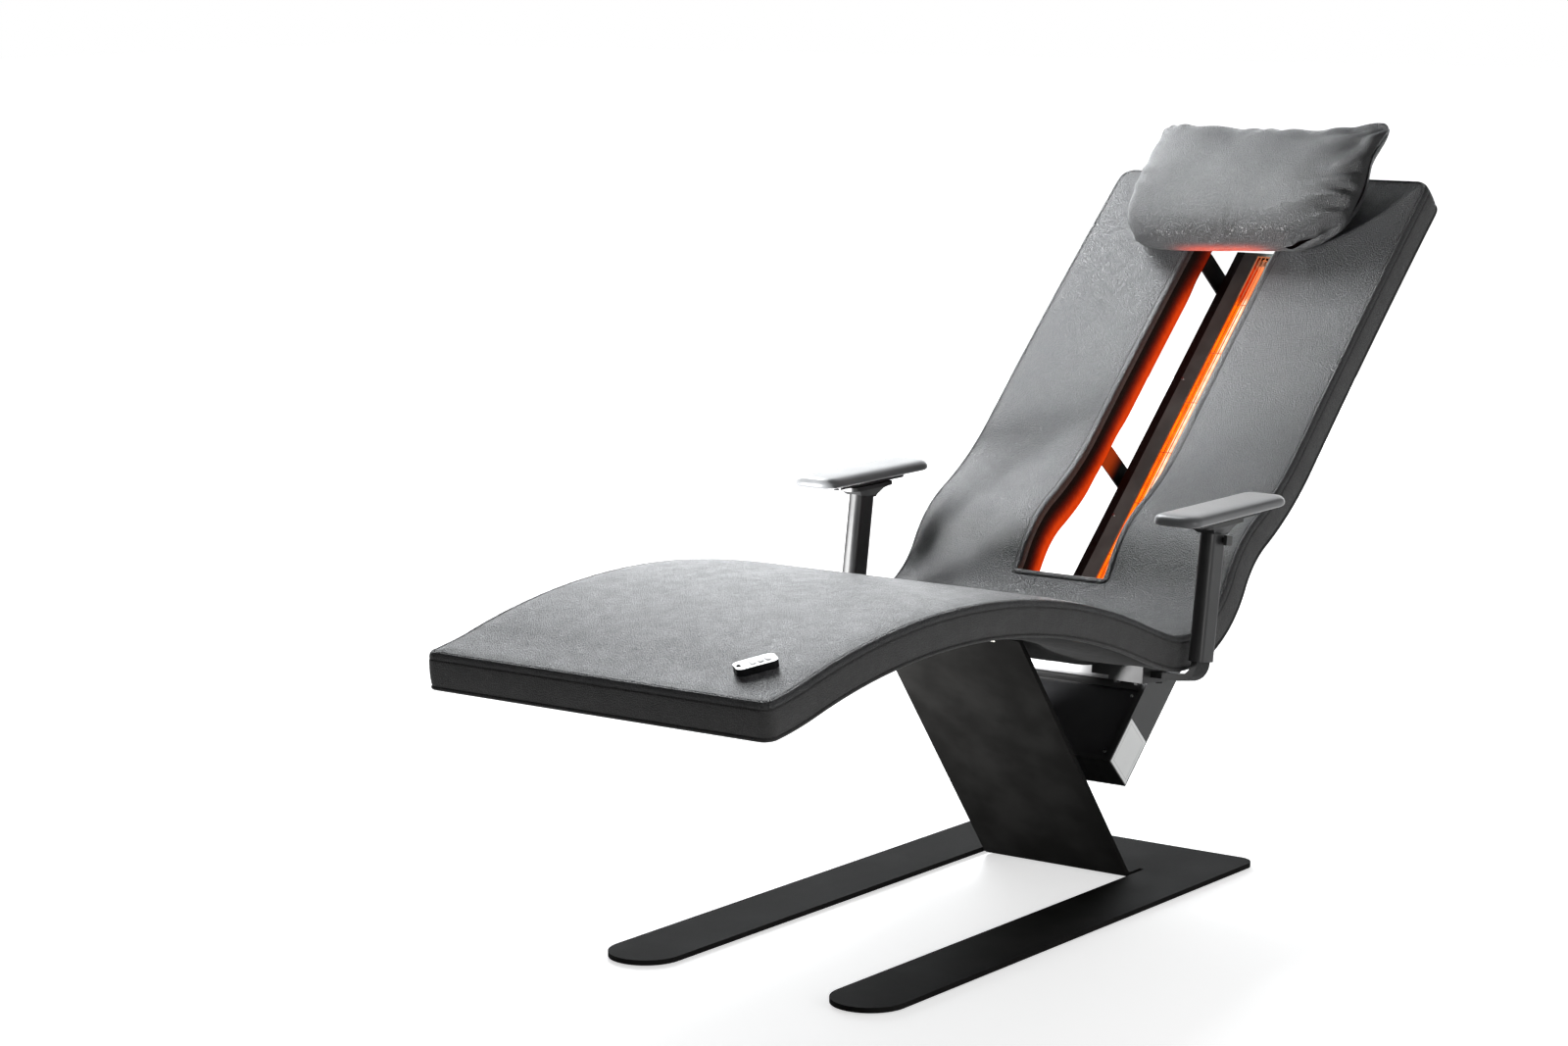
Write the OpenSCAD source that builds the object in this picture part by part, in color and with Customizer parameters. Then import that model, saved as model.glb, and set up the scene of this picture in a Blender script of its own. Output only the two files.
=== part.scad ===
// Infrared lounger: an upholstered S-shaped shell on a folded steel pedestal, with an
// infrared lamp behind a slot in the back, armrests, a pillow and a hand remote.
// X is across the lounger (the person's left is +X), -Y is the foot end, Z is up.
// The floor is z = 0, and y = 0 is halfway between the foot end and the top of the back.

/* [Shell] */
// Width of the upholstered shell
shell_w = 608; // [580:5:660]
// Height of the side band, from the upper seam to the lower one
band_h = 45; // [42:1:56]
// Height of the rounded shoulder above the upper seam
shoulder = 9; // [5:0.5:11]
// Width over which the shoulder turns into the top
shoulder_run = 8; // [6:0.5:10]
// Further rise of the cushion towards its middle
crown = 3; // [1:0.5:6]
// Distance from a seam over which the cushion reaches its full height
crown_run = 75; // [60:1:85]
// How far the side band pulls in between its seams
side_draw = 2; // [0.5:0.5:4]
// Bulge of the cover under the shell
under_bulge = 8; // [4:1:9]
// Thickness of the cover under the shell
under_t = 2; // [1:0.5:3]
// Thickness of the moulded plywood inside
core_t = 17; // [12:1:20]
// Distance from the edge of the upholstery to the plywood
core_inset = 12; // [11:1:18]
// Corner radius at the foot end, seen from above
foot_corner = 18; // [14:1:30]
// Corner radius at the top of the back
back_corner = 28; // [20:1:34]
// Width of the slot in the back
slot_w = 160; // [150:2:170]

/* [Profile] */
// Height of the upper seam at the foot end
foot_z = 501; // [490:1:520]
// Distance of the foot end in front of the pedestal fold
foot_reach = 1174; // [1150:1:1195]
// Slope at the foot end, in degrees
foot_slope = 5.4; // [4:0.1:7]
// Length of the foot rest
foot_len = 97; // [86:1:104]
// Bend of the foot rest, in degrees
foot_turn = 8.8; // [7:0.1:10]
// Length of the arch under the knees
leg_len = 872; // [850:1:890]
// Bend of the arch under the knees
leg_turn = -36.7; // [-38:0.1:-35]
// Length of the seat
seat_len = 70; // [64:1:80]
// Bend of the seat
seat_turn = 5; // [4:0.5:6]
// Length of the hip curve
hip_len = 210; // [205:1:218]
// Bend of the hip curve
hip_turn = 77.8; // [76:0.1:79]
// Length of the lumbar bulge
lumbar_len = 112; // [106:1:118]
// Bend of the lumbar bulge
lumbar_turn = -33.5; // [-35:0.1:-32]
// Length of the waist curve
waist_len = 164; // [158:1:170]
// Bend of the waist curve
waist_turn = 17.6; // [16:0.1:19]
// Length of the straight back
back_len = 593; // [580:1:606]
// Bend of the straight back
back_turn = -2.8; // [-4:0.1:-2]

/* [Base] */
// Thickness of the folded steel sheet
plate_t = 8; // [6:0.5:10]
// Overall width of the base plate
base_w = 527; // [500:1:560]
// Gap between the two legs
leg_gap = 292; // [284:1:310]
// Width of the pedestal
pedestal_w = 274; // [260:1:276]
// How far the fold sets the pedestal in front of the rear plate
fold_shift = 10; // [0:1:14]
// Distance from the fold to the rear edge
rear_reach = 182; // [160:1:220]
// Distance from the fold to the tips of the legs
leg_reach = 868; // [800:1:900]
// Corner radius at the rear of the base plate
rear_corner = 30; // [15:1:45]
// Distance from the middle of the pedestal's flange to its bend
flange_tail = 82; // [78:1:88]
// Bend radius of the sheet, at its middle
fold_r = 14; // [12:1:18]
// Length of the relief notches at the ends of the fold
relief_len = 24; // [18:1:34]
// Diameter of the floor glides
glide_d = 32; // [24:1:40]
// Thickness of the floor glides
glide_t = 2.5; // [2:0.5:4]
// Thread size of the pedestal bolts
bolt_d = 8; // [6:1:10]

/* [Infrared unit] */
// Angle of the infrared unit above the floor
back_angle = 43.5; // [43:0.1:44]
// Width of the lamp housing
ir_w = 111; // [104:1:118]
// Depth of the lamp housing with its cover
ir_d = 43; // [40:1:46]
// Length of the lamp housing
ir_len = 856; // [840:1:870]
// Width of the lamp window in the cover
window_w = 25; // [22:1:30]
// Diameter of the quartz tube
tube_d = 9; // [8:0.5:11]
// Spacing of the cross wires of the guard
guard_step = 109.5; // [90:0.5:130]
// Thickness of the guard wires
wire_d = 1.8; // [1.4:0.1:2.4]
// Width of the straps that carry the housing
strut_w = 40; // [30:1:46]
// Thickness of the sheet metal
sheet_t = 1.5; // [1:0.1:2]

/* [Control box] */
// Width of the control box
box_w = 286; // [270:2:290]
// Height of the control box along the back
box_len = 244; // [235:1:250]
// Depth of the control box
box_d = 69; // [60:1:75]
// Width of the rim round the front panel
box_rim = 9; // [7:0.5:11]
// Length of the front panel along the back
panel_len = 130; // [120:1:134]

/* [Armrests] */
// Distance of each upright from the side of the shell
arm_gap = 28; // [24:1:36]
// Lean of the uprights towards the back, in degrees
arm_lean = 9.5; // [8:0.5:12]
// Width of the bent bar
bar_w = 40; // [34:1:42]
// Thickness of the bent bar
bar_t = 10; // [8:0.5:12]
// Thickness of the sliding sleeve
sleeve_w = 26; // [24:1:32]
// Depth of the sliding sleeve
sleeve_d = 47; // [46:1:54]
// Height of the armrest head above the bracket's lower limb
head_up = 245; // [240:1:260]
// Length of the arm pad
pad_len = 282; // [260:1:300]
// Width of the arm pad
pad_w = 79; // [74:1:90]
// Thickness of the arm pad
pad_t = 19; // [18:1:26]
// Travel of the arm pad each way
pad_travel = 30; // [20:1:32]
// Travel of the sleeve
height_travel = 80; // [50:5:85]

/* [Pillow] */
// Length of the pillow
pillow_len = 426; // [400:2:460]
// Height of the pillow
pillow_h = 272; // [240:2:280]
// Thickness of the pillow
pillow_t = 112; // [80:2:124]

/* [Remote] */
// Length of the remote
remote_len = 60; // [54:1:70]
// Width of the remote
remote_w = 31; // [30:1:36]
// Thickness of the remote
remote_t = 11; // [10:0.5:13]

/* [Hidden] */
$fn = 48;
// running clearance between sliding and inset pieces
fit = 0.3;
// overrun of every cut
cut = 1;
// smallest bend that is treated as a bend
tiny = 0.001;

// the side profile: a chain of arcs along the upper seam
seg_lens = [foot_len, leg_len, seat_len, hip_len, lumbar_len, waist_len, back_len];
seg_turns = [foot_turn, leg_turn, seat_turn, hip_turn, lumbar_turn, waist_turn, back_turn];
function running(v, i) = i == 0 ? 0 : v[i - 1] + running(v, i - 1);
seg_s = [for (i = [0 : len(seg_lens)]) running(seg_lens, i)];
seg_a = [for (i = [0 : len(seg_turns)]) foot_slope + running(seg_turns, i)];
total_s = seg_s[len(seg_lens)];
// the step along an arc that starts at angle a and turns by t degrees over length l
function arc_step(a, t, l, u) = let (th = t * u / l, r = u * 180 / (PI * th))
    abs(th) < tiny ? u * [cos(a), sin(a)] : r * [sin(a + th) - sin(a), cos(a) - cos(a + th)];
function seg_point(i) = i == 0 ? [-foot_reach, foot_z]
    : seg_point(i - 1) + arc_step(seg_a[i - 1], seg_turns[i - 1], seg_lens[i - 1], seg_lens[i - 1]);
// where the pedestal's fold lies, so that the whole lounger is centred on y = 0
last = len(seg_lens);
fold_y = (foot_reach - seg_point(last)[0] - band_h * sin(seg_a[last])) / 2;
seg_p = [for (i = [0 : last]) seg_point(i) + [fold_y, 0]];
function seg_of(s) = min(len([for (v = seg_s) if (v <= s) v]) - 1, len(seg_lens) - 1);
function path_angle(s) = let (i = seg_of(s)) seg_a[i] + seg_turns[i] * (s - seg_s[i]) / seg_lens[i];
function path_point(s, h = 0) = let (i = seg_of(s), a = path_angle(s))
    seg_p[i] + arc_step(seg_a[i], seg_turns[i], seg_lens[i], max(s - seg_s[i], tiny))
    + h * [-sin(a), cos(a)];

// places along the profile, as shares of the arc that they lie on
round_shares = [0, 0.1, 0.3, 0.6, 1];
ramp_shares = [0.5, 1];
leg_shares = [0, 0.1, 0.2, 0.3, 0.4, 0.5, 0.6, 0.71, 0.88, 1];
hip_shares = [0, 0.28, 0.42, 0.55, 0.75, 0.85, 0.93];
lumbar_shares = [0, 0.25, 0.5, 0.75];
waist_shares = [0, 0.25, 0.5, 0.75];
back_shares = [0.03, 0.25, 0.5, 0.66, 0.77];
flange_s = [for (k = [7, 8]) seg_s[1] + leg_len * leg_shares[k]];
arm_s = [for (k = [0, 1]) seg_s[3] + hip_len * hip_shares[k]];
hanger_s = [for (k = [3, 4]) seg_s[3] + hip_len * hip_shares[k]];
low_strut_s = [seg_s[5] + waist_len * waist_shares[3], seg_s[6] + back_len * back_shares[0]];
top_strut_s = [for (k = [3, 4]) seg_s[6] + back_len * back_shares[k]];
slot_end_share = 0.845;
slot_s = [seg_s[3] + hip_len * hip_shares[5], seg_s[6] + back_len * slot_end_share];
stations = concat(
    [for (k = round_shares) foot_corner * k],
    [for (k = ramp_shares) crown_run * k],
    [for (k = leg_shares) seg_s[1] + leg_len * k],
    [for (k = hip_shares) seg_s[3] + hip_len * k],
    [for (k = lumbar_shares) seg_s[4] + lumbar_len * k],
    [for (k = waist_shares) seg_s[5] + waist_len * k],
    [for (k = back_shares) seg_s[6] + back_len * k],
    [for (k = [1, 0]) total_s - crown_run * ramp_shares[k]],
    [for (k = [4 : -1 : 0]) total_s - back_corner * round_shares[k]]);
function between(a, b) = concat([a], [for (s = stations) if (s > a + cut && s < b - cut) s], [b]);

// half of the width at s, with the rounded corners of both ends
function corner_in(r, u) = u >= r ? 0 : r - sqrt(max(r * r - (r - u) * (r - u), 0));
function half_w(s) = shell_w / 2 - corner_in(foot_corner, s) - corner_in(back_corner, total_s - s);
// share of the crown at a distance d from a seam
crown_power = 2.6;
function rise(d) = 1 - pow(1 - min(max(d, 0), crown_run) / crown_run, crown_power);
function roll(d) = let (u = 1 - min(max(d, 0), shoulder_run) / shoulder_run) sqrt(1 - u * u);
function top_h(d, u) = shoulder * roll(d) * roll(u) + crown * rise(d) * rise(u);
surface_h = shoulder + crown;
ring_shares = [0, 0.03, 0.1, 0.3, 1];
cover_shares = [0, 0.13, 0.43, 1];
// a cushion's cross-section: flat below, sides drawn in, crowned above
function cushion_ring(s) = let (w = half_w(s), u = min(s, total_s - s))
    concat([[-w + side_draw / 2, -band_h], [w - side_draw / 2, -band_h], [w - side_draw, -band_h / 2]],
        [for (k = ring_shares) [w - crown_run * k, top_h(crown_run * k, u)]],
        [for (k = [4 : -1 : 0]) [-w + crown_run * ring_shares[k], top_h(crown_run * ring_shares[k], u)]],
        [[-w + side_draw, -band_h / 2]]);
// the cover below: flat above, bulged below
cover_in = 7;
cover_top = -band_h - fit;
function cover_ring(s) = let (w = half_w(s) - cover_in, e = rise(min(s, total_s - s)),
        low = cover_top - under_t)
    concat([for (k = cover_shares) [-w + crown_run * k, low - under_bulge * e * rise(crown_run * k)]],
        [for (k = [3 : -1 : 0]) [w - crown_run * cover_shares[k], low - under_bulge * e * rise(crown_run * cover_shares[k])]],
        [[w, cover_top], [-w, cover_top]]);

// a closed skin through equal rings of points
module skin(rings) {
    n = len(rings[0]);
    m = len(rings);
    polyhedron(
        points = [for (r = rings) each r],
        faces = concat([[for (j = [n - 1 : -1 : 0]) j]], [[for (j = [0 : n - 1]) (m - 1) * n + j]],
            [for (i = [0 : m - 2]) for (j = [0 : n - 1]) [i * n + j, i * n + (j + 1) % n, (i + 1) * n + (j + 1) % n]],
            [for (i = [0 : m - 2]) for (j = [0 : n - 1]) [i * n + j, (i + 1) * n + (j + 1) % n, (i + 1) * n + j]]));
}
function place(ring, s) = [for (p = ring) let (q = path_point(s, p[1])) [p[0], q[0], q[1]]];

// a side view drawn in y and z, pulled out to width w
module side_prism(w) {
    rotate([90, 0, 90]) linear_extrude(w, center = true) children();
}
// a slab that follows the profile between two places and two heights
module path_slab(a, b, low, high, w) {
    list = between(a, b);
    n = len(list);
    side_prism(w) polygon(concat([for (s = list) path_point(s, low)],
        [for (i = [n - 1 : -1 : 0]) path_point(list[i], high)]));
}
// the frame of the flat facet of the shell between two stations: x, along, outwards
function facet_mid(pair, h) = (path_point(pair[0], h) + path_point(pair[1], h)) / 2;
function facet_angle(pair, h) = let (d = path_point(pair[1], h) - path_point(pair[0], h)) atan2(d[1], d[0]);
function up_of(a) = [-sin(a), cos(a)];
module on_facet(pair, h) {
    m = facet_mid(pair, h);
    translate([0, m[0], m[1]]) rotate([facet_angle(pair, h), 0, 0]) children();
}
// the frame at one place on the profile
module on_path(s, h) {
    p = path_point(s, h);
    translate([0, p[0], p[1]]) rotate([path_angle(s), 0, 0]) children();
}

// bent sheet
function unit2(v) = v / norm(v);
function rot2(v, a) = [v[0] * cos(a) - v[1] * sin(a), v[0] * sin(a) + v[1] * cos(a)];
function left_of(v) = [-v[1], v[0]];
bend_steps = 6;
// one side of a strip that follows points p with bends of radius r, at a distance o to the left
function strip_side(p, r, o) = concat(
    [p[0] + o * left_of(unit2(p[1] - p[0]))],
    [for (i = [1 : len(p) - 2]) let (d1 = unit2(p[i] - p[i - 1]), d2 = unit2(p[i + 1] - p[i]),
            th = atan2(d1[0] * d2[1] - d1[1] * d2[0], d1 * d2), g = sign(th),
            start = p[i] - d1 * r * tan(abs(th) / 2), c = start + g * r * left_of(d1))
        for (k = [0 : bend_steps]) c + (r - g * o) * rot2(-g * left_of(d1), th * k / bend_steps)],
    [p[len(p) - 1] + o * left_of(unit2(p[len(p) - 1] - p[len(p) - 2]))]);
module strip(p, r, t) {
    right = strip_side(p, r, -t / 2);
    polygon(concat(strip_side(p, r, t / 2), [for (i = [len(right) - 1 : -1 : 0]) right[i]]));
}

module round_rect(w, l, r) {
    square([w - 2 * r, l], center = true);
    square([w, l - 2 * r], center = true);
    for (x = [-1, 1]) for (y = [-1, 1]) translate([x * (w / 2 - r), y * (l / 2 - r)]) circle(r);
}
// a block given by its lowest corner and its size
module block(low, size) {
    translate(low) cube(size);
}
hex_share = 1.15;
head_h_share = 0.65;
// a hex bolt whose head hangs below z = 0 and whose shank goes up by l
module hex_bolt(d, l) {
    translate([0, 0, -d * head_h_share]) cylinder(h = d * head_h_share, r = d * hex_share / cos(30) * 0.74, $fn = 6);
    cylinder(h = l, d = d);
}
dome_share = 0.35;
// a small domed screw that stands on z = 0 and goes down by l
module dome_screw(d, head, l) {
    translate([0, 0, -l]) cylinder(h = l + tiny, d = d);
    difference() {
        cylinder(h = head * dome_share, d1 = head, d2 = head * 0.7);
        translate([0, 0, head * dome_share / 2]) cylinder(h = head, d = head * dome_share, $fn = 6);
    }
}

// base
plate_mid = glide_t + plate_t / 2;
leg_w = (base_w - leg_gap) / 2;
core_low = -band_h;
flange_angle = facet_angle(flange_s, core_low);
// the clearance that keeps the flange off the core
seat_gap = 0.02;
flange_mid = facet_mid(flange_s, core_low) - (plate_t / 2 + seat_gap) * up_of(flange_angle);
flange_half = norm(path_point(flange_s[1], core_low) - path_point(flange_s[0], core_low)) / 2;
// where the pedestal's middle plane meets the flange's
pedestal_top = flange_mid + flange_tail * [cos(flange_angle), sin(flange_angle)];
flange_end = flange_mid - flange_half * [cos(flange_angle), sin(flange_angle)];
flange_bolt_x = pedestal_w * 0.42;
flange_bolt_y = flange_half * 0.5;
bolt_fit = 0.2;

module flange_bolts() {
    on_facet(flange_s, core_low)
        for (x = [-flange_bolt_x, 0, flange_bolt_x]) for (y = [-flange_bolt_y, flange_bolt_y])
            translate([x, y, -plate_t - seat_gap]) children();
}
module base_plan() {
    translate([-base_w / 2, 0]) difference() {
        union() {
            translate([rear_corner, 0]) square([base_w - 2 * rear_corner, rear_reach]);
            square([base_w, rear_reach - rear_corner]);
        }
        translate([leg_w, -cut]) square([leg_gap, relief_len + cut]);
    }
    for (x = [-1, 1]) {
        translate([x * (base_w / 2 - rear_corner), rear_reach - rear_corner]) circle(rear_corner);
        translate([x * (base_w - leg_w) / 2, 0]) {
            translate([-leg_w / 2, -leg_reach + leg_w / 2]) square([leg_w, leg_reach - leg_w / 2 + cut]);
            translate([0, -leg_reach + leg_w / 2]) circle(leg_w / 2);
        }
    }
}
module base_frame() {
    color([0.07, 0.07, 0.075]) difference() {
        union() {
            translate([0, fold_y, glide_t]) linear_extrude(plate_t) base_plan();
            side_prism(pedestal_w) strip([[fold_y + relief_len + plate_t, plate_mid], [fold_y - fold_shift, plate_mid], pedestal_top, flange_end], fold_r, plate_t);
        }
        path_slab(flange_s[1], seg_s[2], core_low - seat_gap, 0, pedestal_w + 2 * cut);
        flange_bolts() translate([0, 0, -cut]) cylinder(h = plate_t + 2 * cut, d = bolt_d + bolt_fit);
    }
}
glide_y_shares = [-0.93, -0.45, 0];
module floor_glides() {
    color([0.1, 0.1, 0.1]) translate([0, fold_y, 0]) for (x = [-1, 1]) {
        for (k = glide_y_shares) translate([x * (base_w - leg_w) / 2, k * leg_reach, 0]) cylinder(h = glide_t, d = glide_d);
        translate([x * (base_w - leg_w) / 2, rear_reach - leg_w / 2, 0]) cylinder(h = glide_t, d = glide_d);
    }
}
washer_t = 1.6;
module pedestal_bolts() {
    color([0.75, 0.76, 0.78]) flange_bolts() {
        translate([0, 0, -washer_t]) {
            hex_bolt(bolt_d, washer_t + plate_t + core_t - cut);
        }
        difference() {
            translate([0, 0, -washer_t]) cylinder(h = washer_t, d = bolt_d * 2.1);
            translate([0, 0, -washer_t - cut]) cylinder(h = washer_t + 2 * cut, d = bolt_d + bolt_fit);
        }
    }
}

// shell
module slot_cut(extra) {
    path_slab(slot_s[0], slot_s[1], -2 * band_h, band_h, slot_w + 2 * extra);
}
block_bolt_d = 6;
module shell_core() {
    color([0.72, 0.58, 0.4]) difference() {
        path_slab(core_inset, total_s - core_inset, core_low, core_low + core_t, shell_w - 2 * core_inset);
        path_slab(slot_s[0] - core_inset, slot_s[1] + core_inset, -2 * band_h, band_h, slot_w + 2 * core_inset);
        flange_bolts() cylinder(h = plate_t + core_t, d = bolt_d + bolt_fit);
        for (side = [-1, 1]) block_bolts(side) cylinder(h = block_h + core_t, d = block_bolt_d + bolt_fit);
    }
}
module upholstery() {
    color([0.25, 0.27, 0.3]) difference() {
        skin([for (s = stations) place(cushion_ring(s), s)]);
        difference() {
            path_slab(core_inset - fit, total_s - core_inset + fit, core_low - cut, core_low + core_t + fit, shell_w - 2 * core_inset + 2 * fit);
            path_slab(slot_s[0] - core_inset + fit, slot_s[1] + core_inset - fit, -2 * band_h, band_h, slot_w + 2 * core_inset - 2 * fit);
        }
        slot_cut(0);
    }
}
module underside_cover() {
    color([0.16, 0.16, 0.17]) difference() {
        skin([for (s = between(cover_in, total_s - cover_in)) place(cover_ring(s), s)]);
        slot_cut(cover_in);
        on_facet(flange_s, core_low) block([-pedestal_w / 2 - fit, -flange_half - fit, -2 * band_h], [pedestal_w + 2 * fit, 2 * flange_half + fold_r + 3 * plate_t, 3 * band_h]);
        on_facet(hanger_s, core_low) block([-hanger_w / 2 - fit, -hanger_half - fit, -2 * band_h], [hanger_w + 2 * fit, 2 * hanger_half + 2 * fold_r, 3 * band_h]);
        for (side = [-1, 1]) on_facet(arm_s, core_low) mirror([side < 0 ? 1 : 0, 0, 0])
            block([block_x[0] - fit, block_shift - block_d / 2 - fit, -band_h], [block_x[2] - block_x[0] + 2 * fit, block_d + 2 * fit, 2 * band_h]);
        for (side = [-1, 1]) arm_frame(side) block([-arm_x / 2, -bar_w / 2 - fit, -bar_t / 2 - fit], [arm_x / 2, bar_w + 2 * fit, bar_t + 2 * fit]);
        for (pair = [low_strut_s, top_strut_s]) on_facet(pair, core_low)
            block([-strap_foot_x - fit, strap_up - strut_w / 2 - fit, -band_h], [2 * strap_foot_x + 2 * fit, strut_w + 2 * fit, 2 * band_h]);
    }
}

// infrared unit
// the frame of the back: x, up along the back, and out of its front
module back_frame() {
    translate([0, back_y, 0]) rotate([back_angle, 0, 0]) children();
}
ir_front = 247;
ir_rear = ir_front - ir_d;
// how deep the lamp's back plane lies under the shell at the upper strap, and how far its foot lies below the slot
lamp_under = 76.45;
lamp_below = 69.65;
back_y = let (p = facet_mid(top_strut_s, core_low)) p[0] - (p[1] * cos(back_angle) - ir_rear - lamp_under) / sin(back_angle);
ir_t0 = let (p = path_point(slot_s[0], 0)) (p[0] - back_y) * cos(back_angle) + p[1] * sin(back_angle) - lamp_below;
cover_t = 2;
ir_t1 = ir_t0 + ir_len;
window_in = 6;
lamp_end = 16;
tube_h = ir_front - 10.5;
unlit = 96;
ir_screw_x = ir_w / 2 - 19;
ir_screw_shares = [0.035, 0.315, 0.663];

module ir_housing() {
    color([0.12, 0.12, 0.13]) back_frame() difference() {
        block([-ir_w / 2, ir_t0, ir_rear], [ir_w, ir_len, ir_d - cover_t]);
        block([-ir_w / 2 + sheet_t, ir_t0 + sheet_t, ir_rear + sheet_t], [ir_w - 2 * sheet_t, ir_len - 2 * sheet_t, ir_d]);
        translate([0, lead_t, ir_rear - cut]) cylinder(h = ir_d, d = grommet_d);
    }
}
module ir_cover() {
    color([0.38, 0.38, 0.38]) back_frame() difference() {
        block([-ir_w / 2, ir_t0, ir_front - cover_t], [ir_w, ir_len, cover_t]);
        block([-window_w / 2, ir_t0 + lamp_end, ir_front - 2 * cover_t], [window_w, ir_len - lamp_end - window_in, 4 * cover_t]);
        for (x = [-1, 1]) for (k = ir_screw_shares) translate([x * ir_screw_x, ir_t0 + ir_len * k, ir_front - cover_t - cut])
            cylinder(h = cover_t + 2 * cut, d = small_d + bolt_fit);
    }
}
small_d = 3;
small_head = 6;
module ir_cover_screws() {
    color([0.75, 0.76, 0.78]) back_frame() for (x = [-1, 1]) for (k = ir_screw_shares)
        translate([x * ir_screw_x, ir_t0 + ir_len * k, ir_front]) dome_screw(small_d, small_head, cover_t + cut);
}
trough_t = 0.8;
trough_deep = 22;
module trough_2d(w, deep) {
    translate([-w / 2, -deep + w / 2]) square([w, deep - w / 2]);
    intersection() {
        translate([0, -deep + w / 2]) circle(w / 2);
        translate([-w, -2 * deep]) square([2 * w, 2 * deep]);
    }
}
module reflector() {
    color([0.95, 0.5, 0.1]) back_frame() translate([0, ir_t1 - window_in + tiny, ir_front - cover_t]) rotate([90, 0, 0])
        linear_extrude(ir_len - lamp_end - window_in) difference() {
            trough_2d(window_w + 2 * trough_t, trough_deep + trough_t);
            trough_2d(window_w, trough_deep);
            translate([-window_w / 2, -cut]) square([window_w, 2 * cut]);
        }
}
tube_t0 = ir_t0 + lamp_end + 4;
tube_t1 = ir_t1 - window_in - 4;
tube_wall = 1;
module along_back(x, h, a, b, d) {
    back_frame() translate([x, a, h]) rotate([-90, 0, 0]) cylinder(h = b - a, d = d);
}
filament_d = 3;
module quartz_tube() {
    color([1, 0.75, 0.4]) difference() {
        along_back(0, tube_h, tube_t0, tube_t1, tube_d);
        along_back(0, tube_h, tube_t0 + unlit / 3, tube_t1 - unlit / 3, tube_d - 2 * tube_wall);
    }
}
module filament() {
    color([1, 0.9, 0.5]) along_back(0, tube_h, tube_t0 + unlit / 3, tube_t1 - unlit / 3, filament_d);
}
holder_len = 12;
holder_w = 20;
holder_up = 1.5;
module tube_holders() {
    color([0.9, 0.88, 0.82]) difference() {
        back_frame() for (t = [tube_t0 + 4, tube_t1 - holder_len - 4])
            block([-holder_w / 2, t, tube_h - 2 * tube_d], [holder_w, holder_len, 2.5 * tube_d + holder_up]);
        along_back(0, tube_h, tube_t0 - cut, tube_t1 + cut, tube_d);
        back_frame() translate([0, ir_t1 + cut, ir_front - cover_t]) rotate([90, 0, 0]) linear_extrude(ir_len) difference() {
            square(3 * window_w, center = true);
            trough_2d(window_w, trough_deep);
        }
    }
}
// the cross wires' thickness as a share of the long ones'
cross_share = 0.8;
wire_shares = [-0.46, -0.165, 0.165, 0.46];
guard_rows = floor((ir_len - lamp_end - window_in) / guard_step);
guard_h = ir_front + wire_d / 2;
module wire_guard() {
    color([0.8, 0.55, 0.35]) union() {
        for (k = wire_shares) along_back(k * window_w, ir_front - wire_d, ir_t0 + lamp_end, ir_t1 - window_in, wire_d);
        back_frame() for (i = [0 : guard_rows])
            translate([-window_w / 2, ir_t1 - window_in - wire_d - i * guard_step, ir_front - wire_d]) rotate([0, 90, 0]) cylinder(h = window_w, d = wire_d * cross_share);
    }
}
lead_d = 2.6;
lead_x = 3;
lead_h = ir_rear + sheet_t + lead_d / 2;
lead_t = ir_t0 + 28;
grommet_d = 14;
grommet_t = 2.4;
board_low = ir_rear - box_d + sheet_t + 6;
terminal_h = 14;
module lamp_leads() {
    color([0.85, 0.8, 0.72]) for (x = [-lead_x, lead_x]) {
        lead_end = x < 0 ? tube_t1 - holder_len : lead_t;
        if (x < 0) along_back(x, lead_h, lead_t, lead_end, lead_d);
        back_frame() for (t = [lead_t, lead_end]) translate([x, t, lead_h]) sphere(d = lead_d);
        back_frame() translate([x, lead_t, board_low + pcb_t + terminal_h]) cylinder(h = lead_h - board_low - pcb_t - terminal_h, d = lead_d);
        back_frame() translate([x, lead_end, lead_h]) cylinder(h = ir_front - cover_t - trough_deep - trough_t - lead_h, d = lead_d);
    }
}
// a rubber ring that lines the hole between the housing and the box
module lead_grommet() {
    color([0.08, 0.08, 0.08]) back_frame() difference() {
        translate([0, lead_t, ir_rear - box_front_t]) cylinder(h = box_front_t + sheet_t, d = grommet_d - bolt_fit);
        translate([0, lead_t, ir_rear - box_front_t - cut]) cylinder(h = box_front_t + sheet_t + 2 * cut, d = grommet_d - 2 * grommet_t);
    }
}
strap_t = 3;
strap_x = slot_w / 2;
// how far the straps lean inwards on their way down, and how far they sit up the back
strap_in = 9;
strap_up = 6;
strap_foot_w = 28;
strap_hole_in = 9;
strap_foot_x = strap_x + core_inset + strap_foot_w;
strap_hole_x = strap_foot_x - strap_hole_in;
// how far a point of the side view lies in front of the lamp's back plane
function back_h(p) = p[1] * cos(back_angle) - (p[0] - back_y) * sin(back_angle);
function strap_down(pair) = back_h(facet_mid(pair, core_low)) - ir_rear;
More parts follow.
